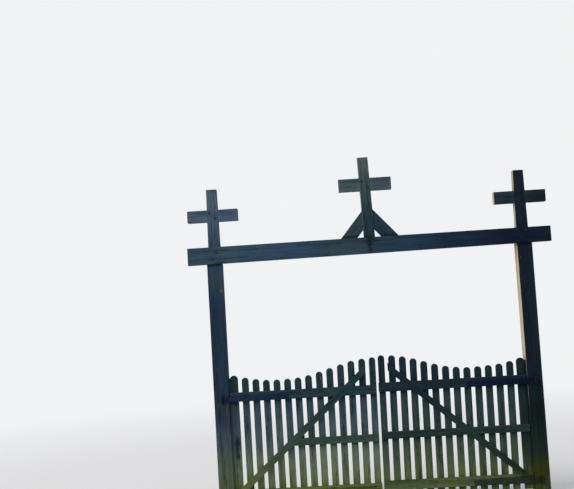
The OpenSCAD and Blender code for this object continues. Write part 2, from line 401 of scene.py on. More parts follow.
def lichens(recipe, place, amount):
    """Ragged spots of up to 15 mm in loose groups, smaller where a group ends."""
    distance, draws = recipe.cells(place, 42)
    spread = recipe.noise(recipe.stretched(place, (3.1, 3.1, 2.3)), 2)
    groups = spread.between(0.66 - amount, 0.78 - amount)
    ragged = recipe.noise(recipe.stretched(place, 170), 3)
    size = (0.07 + draws[1] * 0.24) * groups
    inside = (distance - size + (ragged - 0.5) * 0.3).between(0.03, 0.0)
    return inside * groups.between(0.02, 0.1) * draws[0].between(0.66, 0.68)


print("a lichen cell is", round(1000 / 42), "mm wide")

# %% [markdown]
# A dark band is painted under the lintel on each post and under each rail on the boards, as
# painted shadow, and at the feet that stand on the lintel, and rust has run down the left post
# from its hook. A few marks belong to one place only: a yellow lichen, a dark streak, a stain
# beside a nail, and painted shade beside a hook. Each of those is an ellipse whose distance
# field is broken up twice, by a coarse noise for its outline and by fine crumbs for its edge,
# so that it never looks sprayed on.

# %% Dark bands, runs and single marks
def beside(value, edge, reach):
    """1 at an edge, fading to 0 over reach on one side of it, and 0 on the other side."""
    share = (value - edge) / reach
    return share.between(1.0, 0.0) * share.between(-0.03, 0.0)


def rust_run(recipe, figure, place, x, top, length):
    """A broad faint run of rust down a post's front."""
    where = recipe.parts(place)
    across = abs(where[0] - x).between(0.038, 0.008)
    down = (where[2] - (top - length)).between(0, 0.2) * (where[2] - top).between(0.03, 0)
    broken = figure["patch"].between(0.25, 0.6) * recipe.facing(1, -0.5, -0.9)
    return across * down * broken


def blots(recipe, base, place, marks):
    """Marks on the front: each is a middle, half a width and height, a colour and a share."""
    ragged = recipe.noise(recipe.stretched(place, (55, 55, 16)), 3)
    crumbs = recipe.noise(recipe.stretched(place, (290, 290, 170)), 3).between(0.3, 0.7) - 0.5
    x, _, z = recipe.parts(place)
    front = recipe.facing(1, -0.4, -0.8)
    for at_x, at_z, half_width, half_height, tone, share in marks:
        off = (((x - at_x) / half_width) ** 2 + ((z - at_z) / half_height) ** 2) ** 0.5
        crumble = min(1.6, 0.021 / half_width)
        inner = 1.15 - min(0.45, 0.12 + half_width * 6)
        edge = (off + (ragged - 0.5) * 1.6 + crumbs * crumble).between(1.15, inner)
        base = recipe.mix(edge * front * share, base, tone)
    return base


print("crumbs at a mark's edge are", round(1000 / 290, 1), "mm wide")

# %% [markdown]
# ## All layers of the weathered timber
#
# The layers go on in this order: the stain and what rain and wear made of it, then painted
# sunlight, a pale tan on the faces towards -X above the leaves, as low sun from the left lights
# them, then the rubbed arrises, algae, a dark band that is painted shadow under the lintel and
# the rails and darkens the feet on the lintel, marks, rust and lichens. Knots and hair cracks
# show through them all. The same masks also drive the height and the roughness, so that a
# fibre that looks worn stands proud as well.

# %% Layers
def stained(recipe, figure, place, tones, contrast):
    """The weathered stain, and its sunk and worn tones for the layers above it."""
    thick, washed, sunk, worn, teal, violet = at_place(recipe, place, tones)
    cloud = recipe.noise(recipe.stretched(place, 17), 3)
    brown = figure["streak"].between(0.46, 0.30) * figure["patch"].between(0.40, 0.62)
    base = recipe.mix(figure["patch"].between(0.36, 0.64), thick, washed)
    base = recipe.layers(
        base,
        (cloud.between(0.48, 0.68) * 0.5, teal),
        (cloud.between(0.52, 0.32) * 0.5, violet),
        (figure["streak"].between(0.5, 0.72) * (0.5 * contrast), sunk),
        (figure["rings"] * 0.24, sunk),
        (figure["fibre"].between(0.45, 0.75) * 0.4, worn),
        (brown * 0.22, BROWN),
    )
    return base, sunk, worn


def weathered(recipe, figure, place, tones, damp_top=0.55, damp=0.75, bleach=0.0,
              lichen=0.08, marks=(), dirt=None, rust=None, contrast=1.0):
    """Mixes the colour, roughness and height of weathered timber, and closes the recipe."""
    base, sunk, worn = stained(recipe, figure, place, tones, contrast)
    height_above = recipe.parts(place)[2]
    spots = recipe.noise(recipe.stretched(place, (9, 9, 5)), 5, 0.65)
    # Painted sunlight: faces towards -X turn pale tan above the leaves, as low sun from the left
    # lights them there; below, the leaves shade them.
    if bleach:
        high_up = (height_above + (spots - 0.5) * 1.2).between(0.7, 1.65)
        blotch = figure["fibre"].between(0.25, 0.8) * 0.25 + figure["rings"] * 0.12
        sunlit_faces = recipe.facing(0, -0.75, -0.95) * high_up * (bleach - blotch)
        base = recipe.mix(sunlit_faces, base, SUNLIT_TAN)
    rubbed = recipe.arris() * figure["fibre"].between(0.3, 0.6) * 0.35
    low = (height_above + (spots - 0.5) * 0.55).between(damp_top, damp_top * 0.25)
    upward = recipe.facing(2, 0.55, 0.95) * spots.between(0.35, 0.6)
    film = low.most(upward * 0.8) * damp
    green = recipe.mix(figure["streak"].between(0.45, 0.7), ALGAE, DARK_ALGAE)
    base = recipe.layers(base, (rubbed, worn), (film, green))
    # A dark band: painted shadow under the lintel and under the rails, and darker feet on the
    # lintel.
    if dirt is not None:
        base = recipe.mix(dirt * spots.between(0.1, 0.5) * 0.8, base, GRIME_AND_SHADE)
    if marks:
        base = blots(recipe, base, place, marks)
    if rust is not None:
        base = recipe.mix(rust, base, RUN)
    crust = lichens(recipe, place, lichen)
    base = recipe.layers(
        base,
        (crust * 0.75, LICHEN),
        (figure["knot"] * 0.8, sunk),
        (figure["check"] * (0.85 * contrast), CHECK),
    )
    height = figure["fibre"] * 0.35 + figure["rings"] * 0.3 + figure["streak"] * 0.5
    height = height - figure["check"] * 1.6 + figure["knot"] * 0.5 + film * spots * 0.4
    rough = (0.76 + figure["fibre"] * 0.16 + film * 0.1).least(0.97)
    return recipe.finish(base, rough, height + crust * 0.7, 0.0012, 0.08)


print("algae colour:", [round(part, 3) for part in ALGAE])

# %% [markdown]
# A timber's finish starts in its own grain. Chance, seeded by the timber's name, picks where
# its heart lies, how wide its rings are and which stretch of the endless grain it gets.

# %% One timber's finish
def sawn(name, slope, box, chance):
    """The start of a timber's finish: its recipe, the place, and the place in its grain."""
    recipe = Recipe(name)
    place, grain = along_grain(recipe, slope, middle_of(box), chance.uniform(3, 30))
    return recipe, place, recipe.parts(grain)


def post_timber(name, slope, box, seed, tones, joint=None, run=None, dirt_at=None, **options):
    """The finish of one heavy timber, with its own heart and its own stretch of grain.

    A joint is the place along X where a second length of timber with other grain begins."""
    chance = random.Random(seed)
    recipe, place, (x, y, z) = sawn(name, slope, box, chance)
    heart = (chance.uniform(-0.03, 0.03), chance.uniform(-0.03, 0.03))
    if joint:
        beyond = recipe.parts(place)[0].between(joint - 0.0005, joint + 0.0005)
        x = x + beyond * 0.02
        z = z + beyond * 7.3
    figure = timber_figure(recipe, x, y, z, chance.uniform(0.006, 0.009), heart)
    if run:
        options["rust"] = rust_run(recipe, figure, place, *run) * 0.5
    # A dark band from an edge height over a reach, upwards or downwards.
    if dirt_at:
        options["dirt"] = beside(recipe.parts(place)[2], *dirt_at)
    return weathered(recipe, figure, place, tones, **options)


print("first draw of seed 1:", round(random.Random(1).uniform(3, 30), 3))

# %% [markdown]
# ## The inside of a drying crack
#
# The heart of a timber dries after its outside and pulls the faces open along the grain. The
# walls of such a crack are painted from near black to a dusty brown: painted shade, which keeps
# the crack dark where light would not reach into it, with some dust. Where a piece has broken
# off an arris, the fresh wood has gone grey. The cutters below carry these two materials into
# the timber, so each crack and each nick keeps its own colour.

# %% Crack walls and broken wood
def crack_walls():
    recipe = Recipe("crack_walls")
    dust = recipe.noise(recipe.stretched(recipe.place(), 160), 4)
    # Near black to a dusty brown: painted shade for the crack's depth, with some dust.
    base = recipe.mix(dust, colour(14, 14, 17), colour(40, 34, 31))
    return recipe.finish(base, 0.95, dust, 0.0006, 0.1)


def broken_wood():
    recipe = Recipe("broken_wood")
    x, y, z = recipe.parts(recipe.place())
    splinters = recipe.noise(recipe.point(x * 240, y * 400, z * 240), 4, 0.7)
    blush = recipe.noise(recipe.point(x * 30, y * 30, z * 30), 2)
    base = recipe.layers(
        colour(27, 31, 35),
        (splinters.between(0.3, 0.7), colour(70, 74, 74)),
        (blush.between(0.5, 0.65) * 0.4, colour(66, 52, 44)),
    )
    return recipe.finish(base, 0.95, splinters, 0.0015, 0.08)


CRACK = crack_walls()
BROKEN = broken_wood()
print("cutters' materials:", CRACK.name, BROKEN.name)

# %% [markdown]
# ## Shaping helpers
#
# Operators act on everything that is selected, and the loaded solids come in selected. The
# helpers below therefore first clear the selection, and then choose edges or faces in code.

# %% Selecting
def only(piece):
    """Makes one object the selected and active one."""
    bpy.ops.object.select_all(action="DESELECT")
    piece.select_set(True)
    bpy.context.view_layer.objects.active = piece


def edit_all():
    """Opens edit mode with everything selected."""
    bpy.ops.object.mode_set(mode="EDIT")
    bpy.ops.mesh.select_all(action="SELECT")


def choose(piece, kind, wanted):
    """In edit mode, selects the faces, edges or verts for which wanted is true."""
    bpy.ops.mesh.select_mode(type={"faces": "FACE", "edges": "EDGE", "verts": "VERT"}[kind])
    bpy.ops.mesh.select_all(action="DESELECT")
    mesh = bmesh.from_edit_mesh(piece.data)
    for part in getattr(mesh, kind):
        if wanted(part):
            part.select_set(True)
    mesh.select_flush_mode()
    bmesh.update_edit_mesh(piece.data)


print("plain solids to copy:", len(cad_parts))

# %% [markdown]
# Two primitives are the start of nearly every new piece: a slab between two corners, and a
# bar that stands square to the gateway's front. Both get their size applied at once, so
# that a bevel is as wide in one direction as in the other. A copy of a plain solid has its
# loose triangles merged first, and its flat faces made whole.

# %% Slabs and bars
def slab(low, high):
    """A new cube stretched between two corners."""
    bpy.ops.object.select_all(action="DESELECT")
    middle = (low + high) / 2
    bpy.ops.mesh.primitive_cube_add(size=1, location=middle, scale=high - low)
    bpy.ops.object.transform_apply(location=True, rotation=True, scale=True)
    return bpy.context.object


def bar(at, radius, start, end, out, sides=20):
    """A new cylinder square to a face, from start to end; out is -1 in front, 1 behind."""
    bpy.ops.object.select_all(action="DESELECT")
    bpy.ops.mesh.primitive_cylinder_add(
        vertices=sides,
        radius=radius,
        depth=end - start,
        location=(at[0], at[1] + out * (start + end) / 2, at[2]),
        rotation=(math.radians(90), 0, 0),
    )
    bpy.ops.object.transform_apply(location=True, rotation=True, scale=True)
    return bpy.context.object


# %% Joining and copying
def apply_all(piece):
    """Applies every modifier of a piece, from the first to the last."""
    only(piece)
    for name in [modifier.name for modifier in piece.modifiers]:
        bpy.ops.object.modifier_apply(modifier=name)


def join(pieces, name):
    """Joins several pieces into one mesh with the given name."""
    only(pieces[0])
    for piece in pieces[1:]:
        piece.select_set(True)
    if len(pieces) > 1:
        bpy.ops.object.join()
    pieces[0].name = name
    pieces[0].data.name = name
    return pieces[0]


def flip_out(piece):
    """Makes every face of a closed mesh point outwards."""
    only(piece)
    edit_all()
    bpy.ops.mesh.remove_doubles(threshold=0.00002)
    bpy.ops.mesh.normals_make_consistent(inside=False)
    bpy.ops.object.mode_set(mode="OBJECT")


def copy_of(node, name):
    """A copy of a plain solid whose loose triangles are merged into flat faces."""
    piece = bpy.data.objects.new(name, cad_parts[node].data.copy())
    piece.data.name = name
    piece.data.materials.clear()
    bpy.context.scene.collection.objects.link(piece)
    only(piece)
    bpy.ops.mesh.customdata_custom_splitnormals_clear()
    edit_all()
    bpy.ops.mesh.remove_doubles(threshold=0.00005)
    bpy.ops.mesh.dissolve_limited(angle_limit=math.radians(0.3))
    bpy.ops.object.mode_set(mode="OBJECT")
    return piece


print("loose vertices of a picket set:", len(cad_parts["left_pickets"].data.vertices))

# %% [markdown]
# ## Arrises and wear
#
# A sawn arris is never sharp after some winters: it is rounded by a few millimetres and it
# wanders, because the soft wood goes first. The long arrises get a wide bevel and the short
# ones at the joints a narrow one, through bevel weights. Then bisect cuts rings round the
# timber, and a cloud texture pushes the rounded strips inwards, never out, so the timber
# stays inside its plain solid.

# %% Rounded arrises
UPWARDS = Vector((0, 0, 1))
SHARP = math.radians(40)
SHORT_ARRIS = 0.35
LONG_ENOUGH = 0.08


def weigh_arrises(piece, direction):
    """Bevel weights: 1 on long arrises along the timber, less on its other sharp edges."""
    only(piece)
    mesh = bmesh.new()
    mesh.from_mesh(piece.data)
    layer = mesh.edges.layers.float.get("bevel_weight_edge")
    layer = layer or mesh.edges.layers.float.new("bevel_weight_edge")
    for edge in mesh.edges:
        if len(edge.link_faces) != 2 or edge.calc_face_angle_signed(0) < SHARP:
            continue
        run = edge.verts[1].co - edge.verts[0].co
        lengthways = abs(run.normalized().dot(direction)) > 0.97 and run.length > LONG_ENOUGH
        edge[layer] = 1.0 if lengthways else SHORT_ARRIS
    mesh.to_mesh(piece.data)
    mesh.free()


def round_arrises(piece, direction, width):
    weigh_arrises(piece, direction)
    bevel = piece.modifiers.new("arris", "BEVEL")
    bevel.limit_method = "WEIGHT"
    bevel.width = width
    bevel.segments = 3
    bevel.profile = 0.55
    apply_all(piece)


print("narrow arrises are", SHORT_ARRIS, "times as wide as the long ones")


# %% Rings and margins
def extent(piece, direction):
    """How far a piece reaches along a direction, from low to high."""
    places = [vertex.co.dot(direction) for vertex in piece.data.vertices]
    return min(places), max(places)


def bisect(point, normal):
    """In edit mode, cuts one ring of edges where a plane passes through the piece."""
    bpy.ops.mesh.select_all(action="SELECT")
    bpy.ops.mesh.bisect(plane_co=point, plane_no=normal)


def cut_rings(piece, direction, spacing, chance):
    """Cuts rings across the timber at uneven distances."""
    low, high = extent(piece, direction)
    at = low + spacing * 0.5
    only(piece)
    bpy.ops.object.mode_set(mode="EDIT")
    while at < high - spacing * 0.3:
        bisect(direction * at, direction)
        at += spacing * chance.uniform(0.7, 1.3)
    bpy.ops.object.mode_set(mode="OBJECT")


def cut_margins(piece, across, margin):
    """Cuts a line beside each arris, so that the wear stays near it."""
    low, high = extent(piece, across)
    only(piece)
    bpy.ops.object.mode_set(mode="EDIT")
    for at in (low + margin, high - margin):
        bisect(across * at, across)
    bpy.ops.object.mode_set(mode="OBJECT")


print("height of the left post:", [round(v, 3) for v in extent(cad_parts["left_post"], UPWARDS)])

# %% [markdown]
# The rounded strips keep a mark, `arris`, which the materials read, and a vertex group that
# says what may wear. Weighted normals then keep the wide faces flat, because a bevelled box
# with plain smooth shading looks like a cushion.

# %% Marks, wear and shading
ROUNDED = 9
WORN = 22


def mark_arrises(piece):
    """Writes the attribute arris, 1 on the rounded strips, and chooses what may wear.

    Only the loops in the middle of a strip wear, so the flat faces stay where they are."""
    mesh = bmesh.new()
    mesh.from_mesh(piece.data)
    turns = []
    for vertex in mesh.verts:
        angles = [edge.calc_face_angle_signed(0) for edge in vertex.link_edges
                  if len(edge.link_faces) == 2]
        turns.append(math.degrees(max(angles, default=0)))
    mesh.free()
    write_marks(piece, [1.0 if turn > ROUNDED else 0.0 for turn in turns])
    group = piece.vertex_groups.new(name="worn")
    group.add([i for i, turn in enumerate(turns) if turn > WORN], 1.0, "REPLACE")


def write_marks(piece, marks):
    attribute = piece.data.attributes.get("arris")
    attribute = attribute or piece.data.attributes.new("arris", "FLOAT", "POINT")
    attribute.data.foreach_set("value", marks)


def keep_inside(piece, low, high):
    """Draws back any vertex that the wear has pushed out of the plain solid's box."""
    for vertex in piece.data.vertices:
        for axis in range(3):
            vertex.co[axis] = min(max(vertex.co[axis], low[axis]), high[axis])


def shade(piece, angle=32):
    """Smooth on the rounded strips, and flat where a face is wide."""
    only(piece)
    bpy.ops.object.shade_smooth_by_angle(angle=math.radians(angle))
    weigh = piece.modifiers.new("flat_faces", "WEIGHTED_NORMAL")
    weigh.mode = "FACE_AREA"
    weigh.weight = 60
    weigh.keep_sharp = True
    apply_all(piece)


def wear_down(piece, depth, size):
    """Pushes the marked vertices inwards by up to depth, with a cloud texture."""
    clouds = bpy.data.textures.new("wear", "CLOUDS")
    clouds.noise_scale = size
    clouds.noise_depth = 2
    clouds.contrast = 1.8
    push = piece.modifiers.new("wear", "DISPLACE")
    push.texture = clouds
    push.texture_coords = "LOCAL"
    push.vertex_group = "worn"
    push.mid_level = 0.0
    push.strength = -depth
    apply_all(piece)


print("an edge wears where it turns by more than", WORN, "degrees")

# %% [markdown]
# ## Drying cracks, nicks and end checks
#
# A crack is cut, not drawn, so that light falls into it. Its cutter is a sphere of four sides
# pulled out into a long thin lens, shaken a little so that the crack wanders with the grain.
# A nick in an arris is cut by a small rough ball, and an end check by a lens that lies in the
# end face. All cutters of one timber are joined and taken off in one boolean.

# %% Balls and lenses
RING_IN_LENS = 0.05


def ball(seed, sides, rings, shake, walls=CRACK):
    """A rough little ball, the start of most cutters; its material goes on what it cuts."""
    bpy.ops.object.select_all(action="DESELECT")
    bpy.ops.mesh.primitive_uv_sphere_add(segments=sides, ring_count=rings, radius=1)
    cutter = bpy.context.object
    cutter.data.materials.append(walls)
    edit_all()
    bpy.ops.transform.vertex_random(offset=shake, seed=seed)
    bpy.ops.object.mode_set(mode="OBJECT")
    return cutter


def lens_cutter(frame_of, size, seed):
    """A lens whose X is the crack's width, Y its depth and Z its length."""
    cutter = ball(seed, 4, max(8, int(size[2] / RING_IN_LENS)), 0.10)
    only(cutter)
    edit_all()
    bpy.ops.transform.resize(value=(size[0] / 2, size[1], size[2] / 2))
    drift = random.Random(seed)
    for share in (-0.5, 0.1, 0.6):
        level = share * size[2] / 2
        choose(cutter, "verts", lambda vert: abs(vert.co.z - level) < size[2] * 0.06)
        bpy.ops.transform.translate(
            value=(drift.uniform(-1, 1) * min(0.006, size[2] * 0.012), 0, 0),
            use_proportional_edit=True,
            proportional_edit_falloff="SMOOTH",
            proportional_size=size[2] * 0.22,
        )
    bpy.ops.object.mode_set(mode="OBJECT")
    cutter.data.transform(frame_of)
    return cutter


def face_frame(place, out, along, point):
    """A frame at a point of a face: Z along the grain and Y into the timber."""
    inward = (-out).normalized()
    z = along.normalized()
    x = inward.cross(z)
    matrix = Matrix((x, inward, z)).transposed().to_4x4()
    return place @ Matrix.Translation(point) @ matrix


print("rings in the blank of a 0.6 m crack:", int(0.6 / RING_IN_LENS))

# %% [markdown]
# A timber is now told by a frame, whose Z runs along it, and by its width, depth and
# length. Cracks open in its four long faces, nicks sit on its long arrises, and end checks
# run outwards from the heart in both end faces. Every place, width and length comes from
# the timber's own seeded chance, so the same timber looks the same in each run.

# %% Cracks and nicks
OUTWARDS = [Vector((0, -1, 0)), Vector((1, 0, 0)), Vector((0, 1, 0)), Vector((-1, 0, 0))]


def cracks(place, size, count, chance, widest=0.005, deepest=0.022):
    """Lens cutters for the four long faces of a timber that lies along its own Z."""
    width, depth, length = size
    made = []
    for index in range(count):
        side = index % 4
        out = OUTWARDS[side]
        if side in (0, 2):
            half, reach, across = depth / 2, width, Vector((1, 0, 0))
        else:
            half, reach, across = width / 2, depth, Vector((0, 1, 0))
        long = chance.uniform(0.12, 0.42) * min(length, 2.2)
        point = out * half + across * chance.uniform(-0.3, 0.3) * reach
        point.z = chance.uniform(-0.5, 0.5) * (length - long) * 0.96
        wide = chance.uniform(0.35, 1.0) * widest
        deep = chance.uniform(0.5, 1.0) * deepest
        spot = face_frame(place, out, UPWARDS, point)
        made.append(lens_cutter(spot, (wide, deep, long), chance.randrange(9999)))
    return made


def nicks(place, size, count, chance, coarse=1.0):
    """Small balls set outside the long arrises, so that each takes a shallow bite."""
    width, depth, length = size
    made = []
    for _ in range(count):
        cutter = ball(chance.randrange(9999), 7, 6, 0.18, BROKEN)
        radius = chance.uniform(0.006, 0.012) * coarse
        stretch = chance.uniform(0.35, 1.0) * 0.03
        corner = Vector((
            chance.choice((-1, 1)) * (width / 2 + radius * 0.42),
            chance.choice((-1, 1)) * (depth / 2 + radius * 0.42),
            chance.uniform(-0.48, 0.48) * length,
        ))
        spread = Matrix.Diagonal((radius, radius, stretch, 1))
        cutter.data.transform(place @ Matrix.Translation(corner) @ spread)
        made.append(cutter)
    return made


print("faces that may crack:", len(OUTWARDS))


# %% End checks and chips
END_CHECK_WIDTH = 0.0022


def end_checks(place, size, ends, count, chance):
    """Lenses in the end faces that run outwards from the heart."""
    width, depth, length = size
    made = []
    for end in ends:
        out = Vector((0, 0, end))
        start = chance.uniform(0, math.tau)
        for index in range(count):
            angle = start + index * math.tau / count + chance.uniform(-0.35, 0.35)
            run = Vector((math.cos(angle), math.sin(angle), 0))
            reach = min(width, depth) * chance.uniform(0.28, 0.42)
            point = run * reach * 0.62
            point.z = end * length / 2
            spot = face_frame(place, out, run, point)
            lens_size = (END_CHECK_WIDTH, chance.uniform(0.02, 0.05), reach)
            made.append(lens_cutter(spot, lens_size, chance.randrange(9999)))
    return made


def chips(corners, chance):
    """Rough balls at the corners of an end, where pieces have broken off."""
    made = []
    for corner, radius in corners:
        cutter = ball(chance.randrange(9999), 9, 8, 0.2, BROKEN)
        spread = Matrix.Diagonal((radius * 1.6, radius * 2.6, radius, 1))
        cutter.data.transform(Matrix.Translation(corner) @ spread)
        made.append(cutter)
    return made


print("an end check is", END_CHECK_WIDTH * 1000, "mm wide")

# %% [markdown]
# The manifold solver is the fast and tidy one, and the cutters are closed shells, as it
# wants them. It loses attributes on the way, so the marks are written back afterwards.

# %% Carving
SAME_PLACE = 0.00003


def carve(piece, cutters):
    """Takes the joined cutters off the piece; their walls keep the cutters' materials.

    The boolean drops the arris marks, so each old vertex gets its mark back by its place."""
    tool = join(cutters, "cutters")
    marked = [item.value for item in piece.data.attributes["arris"].data]
    tree = KDTree(len(marked))
    for vertex in piece.data.vertices:
        tree.insert(vertex.co, vertex.index)
    tree.balance()
    cut = piece.modifiers.new("carve", "BOOLEAN")
    cut.operation = "DIFFERENCE"
    cut.solver = "MANIFOLD"
    cut.material_mode = "TRANSFER"
    cut.object = tool
    apply_all(piece)
    bpy.data.objects.remove(tool)
    near = [tree.find(vertex.co) for vertex in piece.data.vertices]
    write_marks(piece, [marked[index] if gap < SAME_PLACE else 0.0 for _, index, gap in near])


print("a mark is found again within", SAME_PLACE * 1000, "mm")


# %% [markdown]
# ## The heavy timbers
#
# Posts, lintel, cross arms, shafts and slanting braces all go through the same steps. A
# timber is told by the node that it stands for, its slope, its body and how many cracks it
# has. Its plain solid is copied first, because that carries the real joints: shoulders,
# housings and half laps.

# %% One timber
RING_SPACING = 0.07
END_CHECKS = 4


def timber(node, body, slope, material, wear, count, chance, deep=0.022, coarse=1.0,
           extra=()):
    """Dresses one timber node and puts the dressed piece in its place."""
    piece = copy_of(node, node + "_timber")
    low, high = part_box(node)
    turn = math.radians(90 - slope)
    along = Vector((math.sin(turn), 0, math.cos(turn)))
    sideways = Vector((math.cos(turn), 0, -math.sin(turn)))
    foot, head = extent(piece, along)
    near, far = extent(piece, sideways)
    size = (far - near, high.y - low.y, head - foot)
    middle = Vector((0, (low.y + high.y) / 2, 0))
    middle += along * (head + foot) / 2 + sideways * (far + near) / 2
    axes_of = Matrix((sideways, Vector((0, 1, 0)), along)).transposed().to_4x4()
    place = Matrix.Translation(middle) @ axes_of
    round_arrises(piece, along, wear)
    cut_margins(piece, sideways, wear * 3)
    cut_margins(piece, Vector((0, 1, 0)), wear * 3)
    cut_rings(piece, along, RING_SPACING, chance)
    mark_arrises(piece)
    wear_down(piece, wear * 0.9, 0.09)
    piece.data.materials.append(material)
    cutters = cracks(place, size, count, chance, deepest=deep)
    cutters += nicks(place, size, int(count * coarse), chance, coarse)
    cutters += end_checks(place, size, (-1, 1), END_CHECKS, chance)
    carve(piece, cutters + list(extra))
    keep_inside(piece, low, high)
    shade(piece)
    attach(piece, body)
    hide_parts(node)
    print(piece.name, "faces:", len(piece.data.polygons))


def cast_seed(node):
    """A seed of its own for every piece, from the letters of its name."""
    return sum((place + 1) * ord(letter) for place, letter in enumerate(node))


def heavy(node, slope, count, wear, tones, deep=0.022, coarse=1.0, extra=(), **options):
    """One timber of the gateway itself; the options are those of its finish."""
    seed = cast_seed(node)
    # Each heavy timber gets painted sunlight on its faces towards -X unless told otherwise.
    options.setdefault("bleach", 0.9)
    finish = post_timber(node + "_finish", slope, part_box(node), seed, tones, **options)
    timber(node, "gateway", slope, finish, wear, count, random.Random(seed), deep,
           coarse, extra)


print("seed of the lintel:", cast_seed("lintel"))

# %% [markdown]
# Holes for the fastenings are cut with the cracks. A peg hole is a hair wider than its peg,
# and at the back of a shaft, where nothing may stand out, the bolt's nut lies in a round
# hole of its own. The places are worked out once here, because the pegs and bolts further
# down go into the same holes.

# %% Places of the pegs and bolts
PEG_RADIUS = 0.011
PEG_HOLE = 0.0122
PEG_DEPTH = 0.012
NUT_HOLE = 0.024
NUT_DEPTH = 0.024
SHAFT_DEPTH = 0.1
SEATS = {"left": 2.666, "right": 2.694}
BOLT_PLACES = ((-0.026, 0.052), (0.026, 0.128))

post_boxes = {side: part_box(side + "_post") for side in SIDES}
arm_boxes = {side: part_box(side + "_cross_arm") for side in ("left", "right", "centre")}
shaft_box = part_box("centre_cross_shaft")
lintel_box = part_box("lintel")


def pegs_in_lap(side):
    """Two pegs across the corner of the square where an arm crosses its shaft."""
    centre = middle_of(arm_boxes[side])
    return [Vector((centre.x + off, 0, centre.z - off)) for off in (-0.03, 0.03)]


def bolts_in_post(side):
    """Two bolts through the lintel and the shaft, one above the other."""
    x = middle_of(post_boxes[side]).x
    return [Vector((x + off, 0, SEATS[side] + rise)) for off, rise in BOLT_PLACES]


SHAFT_X = shaft_box[1].x - 0.0635
TENON_PEGS = [Vector((SHAFT_X + off, 0, 2.81 + off * 0.2)) for off in (-0.034, 0.036)]


print("pegs of the tenon:", [tuple(round(v, 3) for v in peg) for peg in TENON_PEGS])


# %% Drilled holes
def drill(at, radius, depth, out, seed):
    """A round cutter that goes into a face, with walls as rough as a bored hole."""
    cutter = bar(at, radius, -depth, 0.01, out)
    # The hole's walls get the crack walls: painted shade.
    cutter.data.materials.append(CRACK)
    edit_all()
    bpy.ops.transform.vertex_random(offset=0.0003, seed=seed)
    bpy.ops.object.mode_set(mode="OBJECT")
    return cutter


def on_face(point, y):
    return Vector((point.x, y, point.z))


def peg_holes(spots, y, out):
    """A blind hole for each peg, in the face at y."""
    return [drill(on_face(spot, y), PEG_HOLE, PEG_DEPTH, out, index)
            for index, spot in enumerate(spots)]


def holes_of_post(side):
    """Nut holes in the back of a shaft, and the peg holes in its front."""
    back_y = post_boxes[side][1].y
    nuts = [drill(on_face(bolt, back_y), NUT_HOLE, NUT_DEPTH, 1, index)
            for index, bolt in enumerate(bolts_in_post(side))]
    return nuts + peg_holes(pegs_in_lap(side), back_y - SHAFT_DEPTH, -1)


def holes_of_arm(side):
    """Peg holes in the back of an arm."""
    return peg_holes(pegs_in_lap(side), arm_boxes[side][1].y, 1)


print("lintel bolts:", [tuple(round(v, 3) for v in bolt) for bolt in bolts_in_post("left")])

# %% Posts
LEFT_POST = along_z(
    (0.35, 76, 90, 74),
    (0.8, 54, 70, 80),
    (1.05, 31, 48, 65),
    (2.20, 32, 50, 71),
    (2.55, 42, 62, 85),
    (2.95, 55, 75, 95),
    (3.30, 67, 86, 104),
)
# The right post is darker than the left: painted shade on the right side of the gateway; its olive
# foot is algae.
RIGHT_POST = along_z(
    (0.28, 45, 49, 12),
    (0.50, 23, 36, 33),
    (0.90, 10, 26, 28),
    (1.50, 18, 30, 42),
)
# Each post is painted darker in a band just under the lintel: painted shadow of the lintel.
UNDER = -0.05
heavy("left_post", 90, 14, 0.0045, LEFT_POST, extra=holes_of_post("left"), damp_top=0.55,
      damp=0.35, dirt_at=(2.665, UNDER), run=(0.05, 1.16, 1.1),
      marks=[
          (0.030, 2.422, 0.050, 0.014, YELLOW_LICHEN, 0.75),
          (0.045, 2.392, 0.032, 0.036, YELLOW_LICHEN, 0.35),
          (0.066, 2.372, 0.018, 0.020, colour(92, 84, 32), 0.85),
          (0.036, 3.130, 0.013, 0.170, colour(62, 84, 102), 0.6),
          # Painted shade beside the upper hook's pin.
          (0.025, 1.190, 0.015, 0.062, colour(17, 26, 38), 0.75),
          (-0.030, 1.150, 0.017, 0.018, colour(50, 72, 32), 0.6),
          (-0.004, 1.116, 0.013, 0.013, colour(42, 62, 22), 0.6),
          (0.058, 1.112, 0.016, 0.020, colour(42, 54, 30), 0.7),
          (0.070, 1.153, 0.045, 0.020, colour(24, 31, 54), 0.75),
      ])
heavy("right_post", 90, 14, 0.0045, RIGHT_POST, extra=holes_of_post("right"), damp_top=0.3,
      damp=0.3, dirt_at=(2.69, UNDER))

# %% [markdown]
# The lintel is made of two lengths that meet under the centre cross. The joint is cut as a
# saw gap all round, some centimetres deep, and the grain and the stain change there. Thin
# rough slabs are the cutters: a cube is cut into a grid and shaken.

# %% Lintel
JOINT_X = SHAFT_X


def saw_gap(low, high, seed):
    """A thin rough slab between two corners."""
    cutter = slab(Vector(low), Vector(high))
    # The gap's walls get the crack walls: painted shade.
    cutter.data.materials.append(CRACK)
    edit_all()
    bpy.ops.mesh.subdivide(number_cuts=5)
    bpy.ops.transform.vertex_random(offset=0.0006, seed=seed)
    bpy.ops.object.mode_set(mode="OBJECT")
    return cutter


def lintel_joint():
    """Three gaps, 2.8 mm wide, that leave the heart of the lintel whole."""
    front_y = lintel_box[0].y - 0.01
    back_y = lintel_box[1].y + 0.01
    gaps = [
        (front_y, front_y + 0.045, 2.90),
        (back_y - 0.045, back_y, 2.90),
        (front_y + 0.04, back_y - 0.04, 2.70),
    ]
    return [saw_gap((JOINT_X - 0.0014, near, 2.65), (JOINT_X + 0.0014, far, top), seed)
            for seed, (near, far, top) in enumerate(gaps, 1)]


def holes_of_lintel():
    faces = ((lintel_box[0].y, -1, 0), (lintel_box[1].y, 1, 9))
    return [drill(on_face(peg, y), PEG_HOLE, PEG_DEPTH, out, index + first)
            for index, peg in enumerate(TENON_PEGS) for y, out, first in faces]


